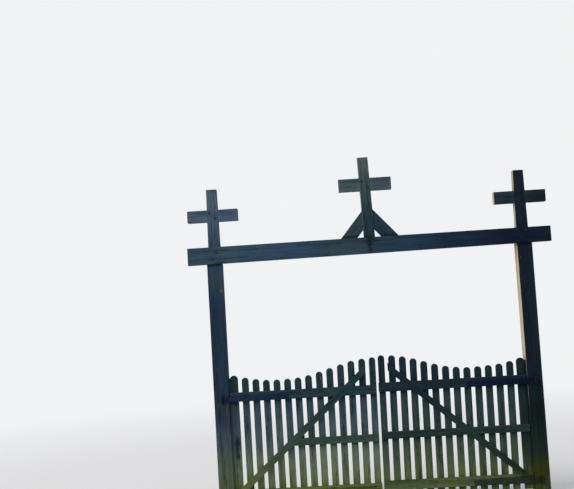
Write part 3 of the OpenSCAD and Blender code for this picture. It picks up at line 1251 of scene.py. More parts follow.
# From x 1.35 the stops darken towards the right end: painted shade on the right side.
LINTEL = along_x(
    (-0.1, 50, 73, 88),
    (0.2, 52, 74, 86),
    (0.35, 45, 68, 93),
    (1.05, 44, 67, 92),
    (1.35, 42, 65, 74),
    (1.8, 36, 57, 68),
    (2.1, 31, 53, 72),
    (2.7, 22, 39, 58),
    (3.2, 12, 25, 41),
)
heavy("lintel", 0, 14, 0.0045, LINTEL, extra=lintel_joint() + holes_of_lintel(),
      joint=JOINT_X, contrast=0.8, marks=[
          (JOINT_X + 0.004, 2.82, 0.055, 0.06, GRIME_AND_SHADE, 0.55),
          (JOINT_X - 0.004, 2.74, 0.022, 0.09, GRIME_AND_SHADE, 0.5),
      ])

# %% [markdown]
# The left and the centre cross have dried out pale, and the right one is painted dark, which
# is painted shade on the right side of the gateway. An arm is halved over its shaft, and the
# centre cross has two braces that rise from the lintel at about 50 degrees. The ends of the
# left arm have lost their corners: chips are rough balls set at those corners and taken off
# with the cracks.

# %% Crosses
LEFT_ARM = along_x((-0.2, 66, 88, 108), (0.2, 67, 86, 112))
# The right arm's dark stops are painted shade on the right side.
RIGHT_ARM = along_x((3.1, 35, 49, 59), (3.6, 24, 34, 44))
CENTRE_ARM = along_x((1.5, 69, 85, 90), (1.85, 65, 83, 94))
CENTRE_SHAFT = along_z(
    (3.07, 32, 54, 63),
    (3.18, 42, 61, 70),
    (3.29, 54, 70, 80),
    (3.50, 57, 76, 81),
    (3.62, 78, 91, 96),
)
LEFT_BRACE = along_z((2.9, 42, 62, 71), (3.2, 48, 66, 74))
RIGHT_BRACE = along_z((2.9, 33, 54, 68), (3.2, 38, 58, 70))
# The shaft and the braces are painted darker at their feet, just above the lintel.
ON_LINTEL = (2.853, 0.05)
broken = chips([
    (Vector((-0.286, -0.020, 3.270)), 0.017),
    (Vector((-0.286, 0.060, 3.131)), 0.015),
    (Vector((0.286, 0.010, 3.271)), 0.011),
    (Vector((0.286, 0.020, 3.130)), 0.013),
], random.Random(5))
heavy("left_cross_arm", 0, 4, 0.0035, LEFT_ARM, 0.012, 2.2, holes_of_arm("left") + broken,
      lichen=0.14, contrast=0.5)
heavy("right_cross_arm", 0, 4, 0.0035, RIGHT_ARM, 0.012, 1.4, holes_of_arm("right"))
heavy("centre_cross_arm", 0, 4, 0.0035, CENTRE_ARM, 0.012, 1.5, holes_of_arm("centre"),
      lichen=0.12, contrast=0.6)
front_pegs = peg_holes(pegs_in_lap("centre"), shaft_box[0].y, -1)
heavy("centre_cross_shaft", 91.6, 5, 0.0035, CENTRE_SHAFT, 0.014, 1.3, front_pegs,
      dirt_at=ON_LINTEL, contrast=0.8)
# The braces get about half as much painted sunlight.
heavy("centre_brace_left", 50, 3, 0.0035, LEFT_BRACE, 0.012, bleach=0.5, dirt_at=ON_LINTEL)
heavy("centre_brace_right", 131.5, 3, 0.0035, RIGHT_BRACE, 0.012, bleach=0.5,
      dirt_at=ON_LINTEL)

# %% [markdown]
# ## Rails and braces of the leaves
#
# The rails and the slanting brace of a leaf are lighter timbers than the posts, and they
# stand on the viewer's side of the pickets. They are a darker and greener teal than the
# boards behind them, and turn olive with algae and splashed mud towards the ground. The
# right leaf's are darker than the left's, which is painted shade on the right side. Two
# marks darken the right leaf's rails, one above each of its straps; the upper one is painted
# shade above the strap. Rails and braces are shaped as the heavy timbers are, with narrower
# arrises and shorter cracks.

# %% Rails and leaf braces
# The right leaf's stops are darker than the left's: painted shade on the right side.
RAIL_TONES = {
    "left": along_z((0.15, 84, 96, 48), (0.32, 77, 90, 48), (0.40, 76, 89, 60), (0.48, 61, 75, 54),
                    (0.7, 49, 70, 64), (1.15, 31, 55, 62)),
    "right": along_z((0.15, 68, 84, 52), (0.22, 66, 80, 54), (0.4, 31, 47, 43), (0.7, 30, 49, 49),
                     (1.15, 23, 42, 51)),
    "right_leaf_brace": along_z((0.25, 28, 40, 20), (0.45, 30, 46, 40), (0.7, 30, 49, 49),
                                (1.15, 23, 42, 51)),
}
RAIL_MARKS = {
    # Painted shade on the right top rail, just above its strap.
    "right_top_rail": [(3.03, 1.265, 0.34, 0.027, colour(10, 22, 44), 0.6)],
    "right_bottom_rail": [(3.23, 0.225, 0.14, 0.05, colour(32, 40, 20), 0.85)],
}
LEVEL_RAILS = ("top_rail", "mid_rail", "bottom_rail")
BRACE_SLOPE = 41.4


def rail_finish(name, slope, box, seed, tones, marks):
    chance = random.Random(seed)
    recipe, place, (x, y, z) = sawn(name, slope, box, chance)
    heart = (chance.uniform(-0.05, 0.05), chance.choice((-1, 1)) * chance.uniform(0.03, 0.06))
    figure = timber_figure(recipe, x, y, z, chance.uniform(0.005, 0.007), heart)
    return weathered(recipe, figure, place, tones, damp_top=0.35, damp=0.6, marks=marks)


def rail(side, piece, slope):
    node = side + "_" + piece
    seed = cast_seed(node)
    tones = RAIL_TONES.get(node, RAIL_TONES[side])
    finish = rail_finish(node + "_finish", slope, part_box(node), seed, tones,
                         RAIL_MARKS.get(node, ()))
    timber(node, side + "_leaf", slope, finish, 0.0032, 6, random.Random(seed), 0.01)


for side, brace_slope in (("left", BRACE_SLOPE), ("right", 180 - BRACE_SLOPE)):
    for piece in LEVEL_RAILS:
        rail(side, piece, 0)
    rail(side, "leaf_brace", brace_slope)

# %% [markdown]
# ## Pickets and end boards
#
# Each picket is a thin board with a round head. It starts as a cube of the board's size, and
# a bevel of half the board's width on its two top edges turns them into the round head. The
# widths and heights are read from the plain solid, one loose island for each board, so the
# swept top line stays right. The leaves have racked over the years, so their boards lean a
# little to the right, all but those near the left post. Each board also gets a small lean
# and some wear of its own.

# %% Boards
def islands(node):
    """The box of every loose board in a plain solid, from low x to high x."""
    mesh = bmesh.new()
    mesh.from_mesh(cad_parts[node].data)
    bmesh.ops.remove_doubles(mesh, verts=mesh.verts, dist=0.00005)
    left = set(mesh.verts)
    boxes = []
    while left:
        heap = [left.pop()]
        found = []
        while heap:
            vertex = heap.pop()
            found.append(vertex.co.copy())
            for edge in vertex.link_edges:
                other = edge.other_vert(vertex)
                if other in left:
                    left.remove(other)
                    heap.append(other)
        low = Vector([min(point[i] for point in found) for i in range(3)])
        high = Vector([max(point[i] for point in found) for i in range(3)])
        boxes.append((low, high))
    mesh.free()
    return sorted(boxes, key=lambda box: box[0].x)


print("boards of the left leaf:", len(islands("left_pickets")) + 2)

# %% One board
LEAN_PIVOT = 0.67
FULL_LEAN = 0.8
LAST_LEAN = 0.35


def lean_at(x):
    """How far a board at x leans to the right, in degrees."""
    share = min(max((x - 0.9) / 0.6, 0), 1)
    return FULL_LEAN * share if x < 3.15 else LAST_LEAN


def board(low, high, chance):
    """One board with a round head, its lean and rounded arrises."""
    size = high - low
    made = slab(low, high)
    edit_all()
    choose(made, "edges", lambda edge: all(v.co.z > high.z - 0.001 for v in edge.verts)
           and abs(edge.verts[0].co.x - edge.verts[1].co.x) < 0.001)
    bpy.ops.mesh.bevel(offset=size.x * 0.497, segments=9, profile=0.5, clamp_overlap=False)
    choose(made, "edges", lambda edge: edge.calc_face_angle(0) > math.radians(50))
    bpy.ops.mesh.bevel(offset=0.0022, segments=2, profile=0.6)
    at = low.z + chance.uniform(0.05, 0.1)
    while at < high.z - size.x * 0.6:
        bisect((0, 0, at), (0, 0, 1))
        at += chance.uniform(0.07, 0.13)
    bpy.ops.mesh.select_all(action="SELECT")
    middle = (low.x + high.x) / 2
    bpy.ops.transform.rotate(
        value=-math.radians(lean_at(middle) + chance.uniform(-0.1, 0.1)),
        orient_axis="Y",
        center_override=(middle, low.y, LEAN_PIVOT),
    )
    bpy.ops.transform.translate(value=(0, 0, -chance.uniform(0.0, 0.005)))
    bpy.ops.object.mode_set(mode="OBJECT")
    return made


def board_splits(low, high, chance):
    """Cutters for one board: a split down from the head and a few cracks in both faces."""
    size = high - low
    made = []
    place = Matrix.Translation((low + high) / 2)
    if chance.random() < 0.55:
        long = chance.uniform(0.08, 0.3)
        spot = Vector((chance.uniform(-0.2, 0.2) * size.x, -size.y * 0.5, size.z / 2 - long * 0.35))
        spot = face_frame(place, Vector((0, -1, 0)), UPWARDS, spot)
        made.append(lens_cutter(spot, (0.0028, size.y * 1.2, long), chance.randrange(9999)))
    for out in (-1, 1):
        for _ in range(chance.choice((1, 2))):
            long = chance.uniform(0.12, 0.4)
            spot = Vector((chance.uniform(-0.35, 0.35) * size.x, out * size.y / 2,
                           chance.uniform(-0.4, 0.35) * size.z))
            spot = face_frame(place, Vector((0, out, 0)), UPWARDS, spot)
            wide = chance.uniform(0.0012, 0.0026)
            made.append(lens_cutter(spot, (wide, 0.007, long), chance.randrange(9999)))
    return made


# %% [markdown]
# Every board has a tone and a grain of its own. A board's number follows from its place along
# the leaf, and white noise on that number moves the grain and shades the stain, so one
# material serves all twelve. The nails have bled a little rust on the side away from the
# viewer, in short runs below each head.

# %% Finish of the boards
# The right leaf's boards are darker than the left's, and its hinge board darkest: painted shade on
# the right side.
BOARD_TONES = {
    "left": along_z((0.2, 92, 104, 68), (0.5, 84, 98, 82), (0.75, 60, 78, 82),
                    (1.05, 49, 67, 79), (1.35, 31, 52, 60)),
    "right": along_z((0.2, 68, 82, 52), (0.5, 56, 71, 58), (0.75, 42, 58, 59),
                     (1.1, 38, 54, 59), (1.35, 22, 41, 52)),
}
SHADED_BOARD = along_z((0.2, 38, 50, 38), (0.7, 26, 41, 42), (1.35, 20, 35, 44))
# Dark marks on the left hinge board: a band under the upper strap and a long streak lower down.
HINGE_BOARD_MARKS = [
    (0.140, 1.150, 0.050, 0.022, colour(25, 37, 62), 0.6),
    (0.141, 0.732, 0.021, 0.058, colour(19, 27, 44), 0.85),
    (0.140, 0.650, 0.015, 0.080, colour(24, 28, 42), 0.8),
    (0.142, 0.580, 0.020, 0.036, colour(32, 29, 36), 0.85),
]


def board_finish(name, first, pitch, seed, tones, rails, marks):
    """One finish for a row of boards: first is where the row starts, pitch its step."""
    chance = random.Random(seed)
    recipe = Recipe(name)
    place = recipe.place()
    x, y, z = recipe.parts(place)
    number = ((x - first) / pitch).floor()
    draw = {"noise_dimensions": "1D"}
    lots = recipe.node("ShaderNodeTexWhiteNoise", draw, {"W": number + seed})
    draws = recipe.node("ShaderNodeTexWhiteNoise", draw, {"W": number * 3.7 + seed}, "Color")
    one, two, three = recipe.parts(draws)
    inside = x - first - (number + 0.5) * pitch
    heart = ((one - 0.5) * 0.06, (two - 0.5) * 0.05 + chance.choice((-0.05, 0.05)))
    figure = timber_figure(recipe, inside, y, z + lots * 40, 0.0052, heart)
    figure["patch"] = figure["patch"] + (three - 0.5) * 0.5
    rust = board_rust(recipe, inside, z, figure["fibre"]) * 0.8
    # Painted shadow: a dark band on the boards' front just under each rail.
    dirt = None
    for low, high in (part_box(rail) for rail in rails):
        behind = (x - low.x).between(-0.01, 0.01) * (x - high.x).between(0.01, -0.01)
        shaded = beside(z, low.z, -0.035) * behind
        dirt = shaded if dirt is None else dirt.most(shaded)
    return weathered(recipe, figure, place, tones, damp_top=0.5, damp=0.7,
                     dirt=dirt * recipe.facing(1, -0.4, -0.8), marks=marks, rust=rust)


def board_rust(recipe, inside, z, fibre):
    """Runs of rust below the nails, on the boards' far side."""
    near = abs(abs(inside) - NAIL_SPREAD).between(0.006, 0.001)
    mask = None
    for level in NAIL_LEVELS:
        run = (z - (level - 0.075)).between(0, 0.07) * (z - level).between(0.004, 0.0)
        mask = run if mask is None else mask.most(run)
    return mask * near * fibre.between(0.3, 0.6) * recipe.facing(1, 0.5, 0.9)


NAIL_SPREAD = 0.018
NAIL_LEVELS = [middle_of(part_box("left_" + name)).z for name in LEVEL_RAILS]
print("nail levels:", [round(level, 3) for level in NAIL_LEVELS])


# %% Boards of both leaves
def boards(node, body, chance, finish):
    """All boards of one node, worn, split and joined into one piece."""
    boxes = islands(node)
    made = [board(low, high, chance) for low, high in boxes]
    cutters = [cutter for low, high in boxes for cutter in board_splits(low, high, chance)]
    piece = join(made, node + "_boards")
    mark_arrises(piece)
    wear_down(piece, 0.0015, 0.05)
    piece.data.materials.clear()
    piece.data.materials.append(finish)
    carve(piece, cutters)
    low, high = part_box(node)
    aside = Vector((0.012, 0, 0))
    keep_inside(piece, low - aside, high + aside)
    shade(piece)
    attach(piece, body)
    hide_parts(node)
    print(piece.name, "boards:", len(boxes), "faces:", len(piece.data.polygons))
    return boxes


leaf_boards = {}
for side in SIDES:
    places = islands(side + "_pickets")
    pitch = places[1][0].x - places[0][0].x
    gap = places[1][0].x - places[0][1].x
    leaf_boards[side] = []
    for part in ("hinge_board", "pickets", "meeting_board"):
        node = side + "_" + part
        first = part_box(node)[0].x - gap / 2
        marks = HINGE_BOARD_MARKS if node == "left_hinge_board" else ()
        tones = SHADED_BOARD if node == "right_hinge_board" else BOARD_TONES[side]
        rails = [side + "_" + rail for rail in LEVEL_RAILS]
        seed = cast_seed(node)
        finish = board_finish(node + "_finish", first, pitch, seed % 97, tones, rails, marks)
        leaf_boards[side] += boards(node, side + "_leaf", random.Random(seed), finish)

# %% [markdown]
# ## Iron
#
# The straps were painted a dark navy blue. The right leaf's are painted darker, and darkest
# at the eye by the right post, which is painted shade. The lower straps and hooks hide under
# an olive film of splashed mud and algae. Rust breaks through here and there and most of all
# near the pins, and nails and nuts are bare and brown. The bolts of the lintel and the spikes
# were brushed over with the timber's stain.
# All these finishes come from one recipe that mixes a coat, whose colour changes along the
# gateway as a stain's does, and two browns of rust by a rough cloud pattern.

# %% Coats on the iron
def coat_along_x(*stops):
    """The coats on iron, told like stains, but each is one colour only."""
    return stops_along(0, lambda *tone: (colour(*tone),), stops)


# The coat darkens from x 0.6 towards the right leaf and is darkest at the right eye: painted shade.
STRAP_PAINT = coat_along_x(
    (0.005, 25, 37, 54),
    (0.022, 10, 22, 42),
    (0.050, 18, 23, 49),
    (0.078, 19, 25, 50),
    (0.105, 18, 37, 64),
    (0.180, 23, 43, 73),
    (0.600, 14, 33, 62),
    (2.950, 3, 15, 50),
    (3.250, 1, 5, 37),
    (3.300, 1, 0, 28),
    (3.340, 1, 0, 24),
    (3.355, 7, 19, 26),
)
MUDDY_COAT = coat_along_x(
    (0.05, 44, 46, 36),
    (0.50, 54, 66, 56),
    (2.80, 39, 50, 42),
    (3.06, 36, 45, 38),
    (3.20, 33, 45, 39),
    (3.27, 29, 31, 20),
    (3.34, 27, 29, 10),
)
# Darker towards the right, as the lintel is: painted shade.
TIMBER_STAIN = coat_along_x((0.2, 44, 64, 80), (1.9, 34, 55, 66), (3.0, 17, 29, 43))
print("stops of the strap paint:", len(STRAP_PAINT[1]))

# %% Finish of the iron
RUST = colour(57, 43, 39)
DARK_RUST = colour(37, 31, 34)
POST_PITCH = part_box("right_post")[1].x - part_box("left_post")[1].x


def iron(name, coat_left, seed, coats, at_pins=0.1):
    """Old iron: coat_left goes from 0, all rust, to 1, all coat; at_pins adds rust there."""
    recipe = Recipe(name)
    place = recipe.place()
    moved = recipe.node("ShaderNodeMapping", None, {"Vector": place, "Location": (seed, 0, 0)})

    def cloud(scale, detail):
        return recipe.noise(recipe.stretched(moved, scale), detail, 0.65)

    blotch = cloud(26, 5)
    grit = cloud(420, 3)
    dents = cloud(55, 1)
    x = recipe.parts(place)[0]
    arris = recipe.arris()
    line = 0.2 + coat_left * 0.6
    pins = abs(x - POST_PITCH / 2).between(0.44 * POST_PITCH, 0.5 * POST_PITCH)
    rough_edge = arris * 0.06 + pins * at_pins + (grit - 0.5) * 0.12
    bare = (blotch + rough_edge).between(line - 0.04, line + 0.05)
    flow = recipe.parts(moved)
    washed = recipe.noise(recipe.point(flow[0] * 90, flow[1] * 90, flow[2] * 9), 4, 0.6)
    coat = recipe.layers(
        at_place(recipe, place, coats)[0],
        (dents.between(0.35, 0.7) * 0.08, colour(38, 48, 72)),
        (washed.between(0.5, 0.75) * 0.08, colour(40, 50, 66)),
        (washed.between(0.48, 0.3) * 0.45, colour(9, 12, 26)),
        (arris * grit.between(0.4, 0.6) * 0.16, colour(52, 50, 54)),
    )
    rust = recipe.mix((grit + blotch - 0.5).between(0.3, 0.7), DARK_RUST, RUST)
    base = recipe.mix(bare, coat, rust)
    height = dents * 0.8 + grit * bare * 0.5 - bare * 0.25
    rough = 0.5 + bare * 0.35 + grit * 0.1
    return recipe.finish(base, rough, height, 0.0009, 0.05)


STRAP_IRON = {
    "upper": iron("upper_strap_finish", 0.9, 3, STRAP_PAINT, 0.045),
    "lower": iron("lower_strap_finish", 0.88, 31, MUDDY_COAT, 0.07),
}
RUSTY_IRON = iron("rusty_iron_finish", 0.12, 9, STRAP_PAINT)
HOOK_IRON = {
    "upper": iron("upper_hook_finish", 0.75, 21, STRAP_PAINT),
    "lower": iron("lower_hook_finish", 0.35, 27, MUDDY_COAT),
}
STAINED_IRON = iron("stained_iron_finish", 0.88, 14, TIMBER_STAIN, 0.0)
print("distance between the pins:", round(POST_PITCH, 3))

# %% [markdown]
# ## Strap hinges
#
# A strap is a long flat bar whose end is rolled into an eye. The bar starts as a cube, and
# the face at its end is spun round the pin for most of a turn, which leaves the open seam
# that a rolled eye has. The bar's far corners are rounded off. The right leaf's straps are
# mirrored, and a mirrored mesh gets its normals recalculated.

# %% Straps
STRAP_THICK = 0.006
EYE_RADIUS = 0.0145
ROLL_TURN = math.radians(303)
STRAP_RINGS = 12


def to_right(piece):
    """Mirrors a piece of the left leaf over to the right leaf's side."""
    middle = POST_PITCH / 2
    mirror = Matrix.Translation((middle, 0, 0)) @ Matrix.Diagonal((-1, 1, 1, 1))
    piece.data.transform(mirror @ Matrix.Translation((-middle, 0, 0)))
    flip_out(piece)


def strap(side, level):
    """One strap, made at the left post's pin and mirrored for the right leaf."""
    node = side + "_" + level + "_strap"
    low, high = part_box(node)
    length = high.x if side == "left" else POST_PITCH - low.x
    pin_y = high.y - EYE_RADIUS
    back_corner = Vector((length, high.y, high.z))
    piece = slab(Vector((0, high.y - STRAP_THICK, low.z)), back_corner)
    edit_all()
    choose(piece, "faces", lambda face: face.normal.x < -0.9)
    bpy.ops.mesh.spin(steps=28, angle=ROLL_TURN, center=(0, pin_y, 0), axis=(0, 0, -1))
    choose(piece, "edges", lambda edge: all(v.co.x > length - 0.001 for v in edge.verts)
           and abs(edge.verts[0].co.y - edge.verts[1].co.y) > 0.003)
    bpy.ops.mesh.bevel(offset=0.012, segments=5)
    for index in range(1, STRAP_RINGS):
        bisect((length * index / STRAP_RINGS, 0, 0), (1, 0, 0))
    choose(piece, "edges", lambda edge: edge.calc_face_angle(0) > math.radians(60))
    bpy.ops.mesh.bevel(offset=0.0011, segments=2)
    bpy.ops.object.mode_set(mode="OBJECT")
    piece.name = node + "_iron"
    if side == "right":
        to_right(piece)
    mark_arrises(piece)
    piece.data.materials.append(STRAP_IRON[level])
    shade(piece, 40)
    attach(piece, side + "_leaf")
    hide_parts(node)
    print(piece.name, "length:", round(length, 3), "faces:", len(piece.data.polygons))


for side in SIDES:
    for level in LEVELS:
        strap(side, level)

# %% [markdown]
# ## Hooks
#
# Each strap's eye turns on a hook that was driven into the post. The hook is one bar: its
# shank comes out of the post, bends upwards in a tight forged curve and ends in the pin. A
# circle is extruded along the shank, spun through the bend and extruded up the pin, whose
# top is chamfered by two last extrusions.

# %% Hooks
SHANK_RADIUS = 0.009
PIN_RADIUS = 0.008
BEND = 0.0105


def grow(move, scale=1.0):
    """Extrudes what is selected by one step and scales its end."""
    bpy.ops.mesh.extrude_region_move(TRANSFORM_OT_translate={"value": move})
    bpy.ops.transform.resize(value=(scale, scale, scale))


def hook(side, level):
    """One forged hook, from the post's face to the tip of its pin."""
    node = side + "_" + level + "_pintle"
    low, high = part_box(node)
    x = (low.x + high.x) / 2
    pin_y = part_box(side + "_" + level + "_strap")[1].y - EYE_RADIUS
    shank_z = low.z + SHANK_RADIUS
    bpy.ops.object.select_all(action="DESELECT")
    bpy.ops.mesh.primitive_circle_add(
        vertices=20,
        radius=SHANK_RADIUS,
        fill_type="NGON",
        location=(x, high.y, shank_z),
        rotation=(math.radians(90), 0, 0),
    )
    piece = bpy.context.object
    bpy.ops.object.transform_apply(location=True, rotation=True, scale=True)
    bpy.ops.object.mode_set(mode="EDIT")
    bpy.ops.mesh.select_mode(type="FACE")
    bpy.ops.mesh.select_all(action="SELECT")
    reach = high.y - (pin_y + BEND)
    for share in (0.5, 0.3, 0.2):
        grow((0, -reach * share, 0))
    bpy.ops.mesh.spin(steps=8, angle=math.radians(90), center=(x, pin_y + BEND, shank_z + BEND),
                      axis=(1, 0, 0))
    grow((0, 0, 0.002), PIN_RADIUS / SHANK_RADIUS)
    rest = high.z - (shank_z + BEND + 0.002)
    grow((0, 0, rest - 0.006))
    grow((0, 0, 0.0045), 0.8)
    grow((0, 0, 0.0015), 0.6)
    bpy.ops.object.mode_set(mode="OBJECT")
    piece.name = node + "_iron"
    flip_out(piece)
    mark_arrises(piece)
    piece.data.materials.append(HOOK_IRON[level])
    shade(piece, 50)
    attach(piece, "gateway")
    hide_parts(node)
    lowest = min(vertex.co.z for vertex in piece.data.vertices)
    print(piece.name, "from", round(lowest, 4), "box from", round(low.z, 4))


for side in SIDES:
    for level in LEVELS:
        hook(side, level)

# %% [markdown]
# ## Fastenings
#
# Coach bolts hold the straps: a domed head in front, painted with the strap, and on the
# boards' far side a washer, a nut and the end of the bolt. The boards are nailed to the
# rails from that side too, two nails at each crossing and one where the brace passes. The
# crosses are pegged with oak, and two bolts hold the lintel to each post, with their nuts
# let into the back of the shafts.

# %% Bolts, washers and nuts
def disc(at, radius, thick, sides, out, rim, steps):
    """A round or many-sided disc on a face, with a bevel round its outer rim."""
    made = bar(at, radius, 0, thick, out, sides)
    face_y = at[1] + out * thick
    edit_all()
    choose(made, "edges", lambda edge: all(abs(v.co.y - face_y) < 0.0001 for v in edge.verts))
    bpy.ops.mesh.bevel(offset=rim, segments=steps, profile=0.5)
    bpy.ops.object.mode_set(mode="OBJECT")
    return made


def turned(piece, at, angle):
    """Turns a small part round the Y axis through its own middle."""
    middle = Matrix.Translation(at)
    piece.data.transform(middle @ Matrix.Rotation(angle, 4, "Y") @ middle.inverted())
    return piece


def coach_bolt(front, back, chance, finish, head=0.0125, high=0.0062, size=1.0):
    """A domed head in front and, behind, a washer, a nut and the bolt's end."""
    dome = disc(front, head, high, 20, -1, high * 0.85, 4)
    dome.data.materials.append(finish)
    washer = disc(back, 0.0165 * size, 0.0025, 20, 1, 0.0006, 1)
    seat = (back[0], back[1] + 0.0025, back[2])
    nut = disc(seat, 0.0115 * size, 0.009, 6, 1, 0.0014, 2)
    turned(nut, seat, chance.uniform(0, math.pi))
    tip = disc((seat[0], seat[1] + 0.009, seat[2]), 0.0052 * size, 0.004, 14, 1, 0.0009, 1)
    for part in (washer, nut, tip):
        part.data.materials.append(RUSTY_IRON)
    return [dome, washer, nut, tip]


def fitting(parts, name, body, finish=None):
    """Joins small parts into one piece that rides on a body."""
    piece = join(parts, name)
    mark_arrises(piece)
    if finish:
        piece.data.materials.clear()
        piece.data.materials.append(finish)
    shade(piece, 40)
    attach(piece, body)
    print(name, "parts:", len(parts), "faces:", len(piece.data.polygons))


# %% Bolts through the straps
BOLT_FROM_TIP = 0.026


def strap_bolts(side):
    chance = random.Random(cast_seed(side))
    parts = []
    ordered = sorted(leaf_boards[side], key=lambda box: box[0].x, reverse=(side == "right"))
    back_y = ordered[0][1].y
    for level in LEVELS:
        low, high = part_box(side + "_" + level + "_strap")
        z = (low.z + high.z) / 2
        tip = high.x if side == "left" else low.x
        for index in (0, 2, 4, 5):
            box = ordered[index]
            x = (box[0].x + box[1].x) / 2
            if index == 5:
                x = tip - BOLT_FROM_TIP if side == "left" else tip + BOLT_FROM_TIP
            spot = (x, high.y - STRAP_THICK, z)
            parts += coach_bolt(spot, (x, back_y, z), chance, STRAP_IRON[level])
    fitting(parts, side + "_leaf_bolts", side + "_leaf")


for side in SIDES:
    strap_bolts(side)


# %% Nails in the boards
def nail(at, chance):
    """A flat nail head, hammered a little askew."""
    seat = (at[0], at[1] - 0.0004, at[2])
    return turned(disc(seat, 0.0046, 0.0022, 9, 1, 0.0009, 1), seat, chance.uniform(0, 1))


def shifted(x, z):
    """How far a leaning board has moved aside at a height."""
    return (z - LEAN_PIVOT) * math.tan(math.radians(lean_at(x)))


def leaf_nails(side):
    """Two nails where a board crosses a rail and one where it crosses the brace."""
    chance = random.Random(cast_seed(side + "nails"))
    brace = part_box(side + "_leaf_brace")
    rise = math.tan(math.radians(BRACE_SLOPE))
    parts = []
    for low, high in leaf_boards[side]:
        x = (low.x + high.x) / 2
        for name in LEVEL_RAILS:
            rail_low, rail_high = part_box(side + "_" + name)
            if not rail_low.x - 0.01 < x < rail_high.x + 0.01:
                continue
            z = (rail_low.z + rail_high.z) / 2
            for off in (-NAIL_SPREAD, NAIL_SPREAD):
                aside = off + shifted(x, z) + chance.uniform(-0.002, 0.002)
                spot = (x + aside, high.y, z + chance.uniform(-0.006, 0.006))
                parts.append(nail(spot, chance))
        away = x - brace[0].x if side == "left" else brace[1].x - x
        z = brace[0].z + 0.03 + away * rise
        if brace[0].x < x < brace[1].x and z < brace[1].z - 0.03:
            aside = shifted(x, z) + chance.uniform(-0.008, 0.008)
            parts.append(nail((x + aside, high.y, z), chance))
    fitting(parts, side + "_leaf_nails", side + "_leaf", RUSTY_IRON)


for side in SIDES:
    leaf_nails(side)

# %% [markdown]
# A peg is split from oak and driven through the joint. Its head stands a few millimetres
# proud in front and shows end grain, short dark rays on a ground that has taken the stain of
# the timber round it; towards the right the ground is darker, painted shade as on the
# lintel. Behind a shaft it is cut off flush.

# %% Oak pegs
def peg_finish():
    recipe = Recipe("peg_end_grain")
    place = recipe.place()
    x, y, z = recipe.parts(place)
    grain = recipe.noise(recipe.point(x * 900, y * 40, z * 260), 3)
    pores = recipe.noise(recipe.point(x * 1500, y * 40, z * 1500), 2)
    # Pegs towards the right are darker: painted shade, as on the lintel.
    right_half = x.between(2.0, 3.0)
    dark = recipe.mix(right_half, colour(32, 48, 60), colour(15, 25, 35))
    pale = recipe.mix(right_half, colour(48, 66, 77), colour(25, 37, 47))
    pits = pores.between(0.56, 0.66)
    base = recipe.layers(dark, (grain.between(0.3, 0.7), pale), (pits, colour(20, 22, 24)))
    return recipe.finish(base, 0.88, grain - pits, 0.0005, 0.1)


PEG_WOOD = peg_finish()


def peg(at, proud, out, chance):
    """A whittled peg end with ten uneven sides."""
    seat = (at[0], at[1] - out * PEG_DEPTH, at[2])
    made = disc(seat, PEG_RADIUS, PEG_DEPTH + proud, 10, out, 0.0018, 2)
    return turned(made, seat, chance.uniform(0, 1))


def pegs():
    """The pegs of all three crosses and of the centre shaft's tenon."""
    chance = random.Random(31)
    places = []
    for side in SIDES:
        front_y = post_boxes[side][1].y - SHAFT_DEPTH
        places.append((pegs_in_lap(side), front_y, 0.004, arm_boxes[side][1].y, -0.0004))
    arm_back_y = arm_boxes["centre"][1].y
    places.append((pegs_in_lap("centre"), shaft_box[0].y, 0.0035, arm_back_y, 0.003))
    places.append((TENON_PEGS, lintel_box[0].y, 0.004, lintel_box[1].y, 0.003))
    parts = []
    for spots, front_y, front_proud, back_y, back_proud in places:
        for spot in spots:
            parts.append(peg(on_face(spot, front_y), front_proud, -1, chance))
            parts.append(peg(on_face(spot, back_y), back_proud, 1, chance))
    fitting(parts, "cross_pegs", "gateway", PEG_WOOD)


pegs()


# %% Bolts of the lintel
def lintel_bolts():
    """Bolts on round plates in front, with their nuts let into the shafts behind."""
    chance = random.Random(32)
    parts = []
    for side in SIDES:
        for spot in bolts_in_post(side):
            front = on_face(spot, lintel_box[0].y)
            plate = disc(front, 0.021, 0.003, 24, -1, 0.0008, 1)
            plate.data.materials.append(STAINED_IRON)
            parts.append(plate)
            back = on_face(spot, post_boxes[side][1].y - NUT_DEPTH + 0.0006)
            head = (front.x, front.y - 0.003, front.z)
            parts += coach_bolt(head, back, chance, STAINED_IRON, 0.013, 0.0068, 1.2)
    fitting(parts, "lintel_bolts", "gateway")


lintel_bolts()

# %% [markdown]
# The braces of the centre cross are held with forged spikes: two through the foot of each
# into the lintel and two near its head into the shaft. A spike's head is a small four-sided
# pyramid, hammered flat at the tip.

# %% Spikes
SPIKE_HEAD = 0.009
SPIKES = ((0.075, 0.024), (0.135, 0.030), (0.196, 0.178), (0.214, 0.130))


def spike(at, chance):
    """A spike's four-sided head, turned as it was last struck."""
    seat = (at[0], at[1] + 0.0004, at[2])
    made = disc(seat, SPIKE_HEAD, 0.004, 4, -1, 0.0034, 1)
    return turned(made, seat, chance.uniform(0.5, 1.1))


def brace_spikes():
    """Four spikes in each centre brace: each place is told from the brace's foot."""
    chance = random.Random(33)
    parts = []
    for side, sign in (("left", -1), ("right", 1)):
        low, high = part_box("centre_brace_" + side)
        foot_x = low.x if side == "left" else high.x
        for off, rise in SPIKES:
            parts.append(spike((foot_x - sign * off, low.y, low.z + rise), chance))
    fitting(parts, "brace_spikes", "gateway", STAINED_IRON)


brace_spikes()

# %% [markdown]
# ## Stop laths
#
# No light comes through between a closed leaf and its post, so something closes the gap. On
# such gateways it is a lath that is nailed to the post's inner side and fills the gap but for
# a few millimetres. The leaf swings away from it to the front. It is a plain batten with
# planed arrises, split here and there.

# %% Stop laths
LATH_DEPTH = 0.078
LATH_WIDTH = 0.0115
LATH_FOOT = 0.07
LATH_LEAD = 0.020
BELOW_HEAD = 0.03


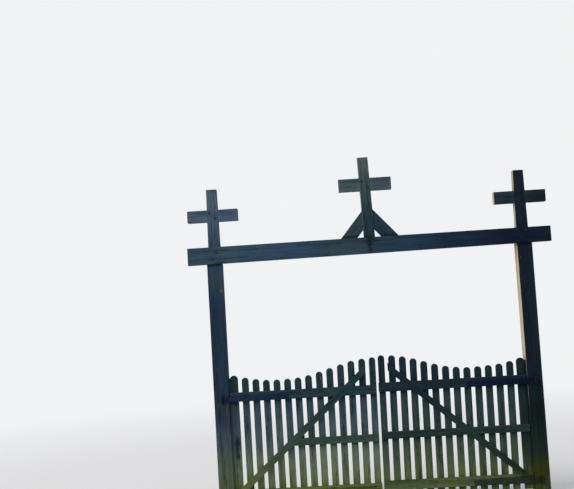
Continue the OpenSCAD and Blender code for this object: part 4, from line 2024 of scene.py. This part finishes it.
def stop_lath(side):
    """A batten in the gap between a post and its closed leaf."""
    chance = random.Random(cast_seed(side + "lath"))
    post_low, post_high = post_boxes[side]
    board_low, board_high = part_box(side + "_hinge_board")
    low_x = post_high.x if side == "left" else post_low.x - LATH_WIDTH
    low = Vector((low_x, board_low.y - LATH_LEAD, LATH_FOOT))
    high = Vector((low_x + LATH_WIDTH, low.y + LATH_DEPTH, board_high.z - BELOW_HEAD))
    piece = slab(low, high)
    piece.name = side + "_stop_lath"
    round_arrises(piece, UPWARDS, 0.0024)
    cut_rings(piece, UPWARDS, 0.09, chance)
    mark_arrises(piece)
    wear_down(piece, 0.002, 0.06)
    tones = LEFT_POST if side == "left" else RIGHT_POST
    finish = post_timber(piece.name + "_finish", 90, (low, high), cast_seed(side), tones,
                         damp_top=0.4, damp=0.5)
    piece.data.materials.append(finish)
    size = (LATH_WIDTH, LATH_DEPTH, high.z - low.z)
    place = Matrix.Translation((low + high) / 2)
    carve(piece, cracks(place, size, 4, chance, 0.002, 0.006) + nicks(place, size, 5, chance))
    keep_inside(piece, low, high)
    shade(piece)
    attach(piece, "gateway")
    print(piece.name, "faces:", len(piece.data.polygons))


for side in SIDES:
    stop_lath(side)

# %% [markdown]
# ## Light, floor and backdrop
#
# Plain soft studio light: an even pale sky from all round and one broad lamp from the upper
# left, together at a level at which a colour renders about as it is written. The floor is
# pale, keeps the gateway's shadow, and fades into the backdrop with distance, so that no
# horizon line crosses the picture.

# %% Stage
FLOOR_MIDDLE = 1.68
FLOOR_RADIUS = 14


def pale_world():
    """A soft sky that lights the gateway and a paler one that only the camera sees."""
    recipe = Recipe("studio", "worlds")
    ray = recipe.node("ShaderNodeLightPath", None, (), "Is Camera Ray")
    seen = ray.most(ray.other("Is Transmission Ray")).most(ray.other("Is Glossy Ray"))
    sky, back = [
        recipe.node("ShaderNodeBackground", None, {"Color": tone, "Strength": strength})
        for tone, strength in (((0.93, 0.95, 1.0, 1), 0.62), ((0.88, 0.89, 0.9, 1), 1.0))
    ]
    both = recipe.node("ShaderNodeMixShader", None, (seen, sky, back))
    bpy.context.scene.world = recipe.close(both, "ShaderNodeOutputWorld")


def floor_finish():
    """A matt floor that fades away with its distance from the gateway's middle."""
    recipe = Recipe("pale_floor")
    x, y, _ = recipe.parts(recipe.place())
    x = x - FLOOR_MIDDLE
    away = (x * x + y * y) ** 0.5
    matt = recipe.node("ShaderNodeBsdfDiffuse", None, {"Color": (0.86, 0.86, 0.86, 1)})
    clear = recipe.node("ShaderNodeBsdfTransparent")
    return recipe.close(recipe.node("ShaderNodeMixShader", None,
                                    (away.between(4.5, 13.0), matt, clear)))


pale_world()
bpy.ops.object.select_all(action="DESELECT")
bpy.ops.mesh.primitive_circle_add(vertices=64, radius=FLOOR_RADIUS, fill_type="NGON")
floor = bpy.context.object
floor.name = "floor"
floor.data.transform(Matrix.Translation((FLOOR_MIDDLE, 0, 0)))
floor.data.materials.append(floor_finish())

lamp = bpy.data.lights.new("key", "SUN")
lamp.energy = 1.6
lamp.angle = math.radians(35)
lamp.color = (1.0, 0.96, 0.9)
key = bpy.data.objects.new("key", lamp)
bpy.context.scene.collection.objects.link(key)
key.rotation_mode = "QUATERNION"
key.rotation_quaternion = Vector((0.75, 0.55, -0.62)).to_track_quat("-Z", "Y")
print("stage is ready")

# %% [markdown]
# ## The view transform
#
# Colours are shown through the Standard view transform.

# %% View transform
bpy.context.scene.view_settings.view_transform = "Standard"
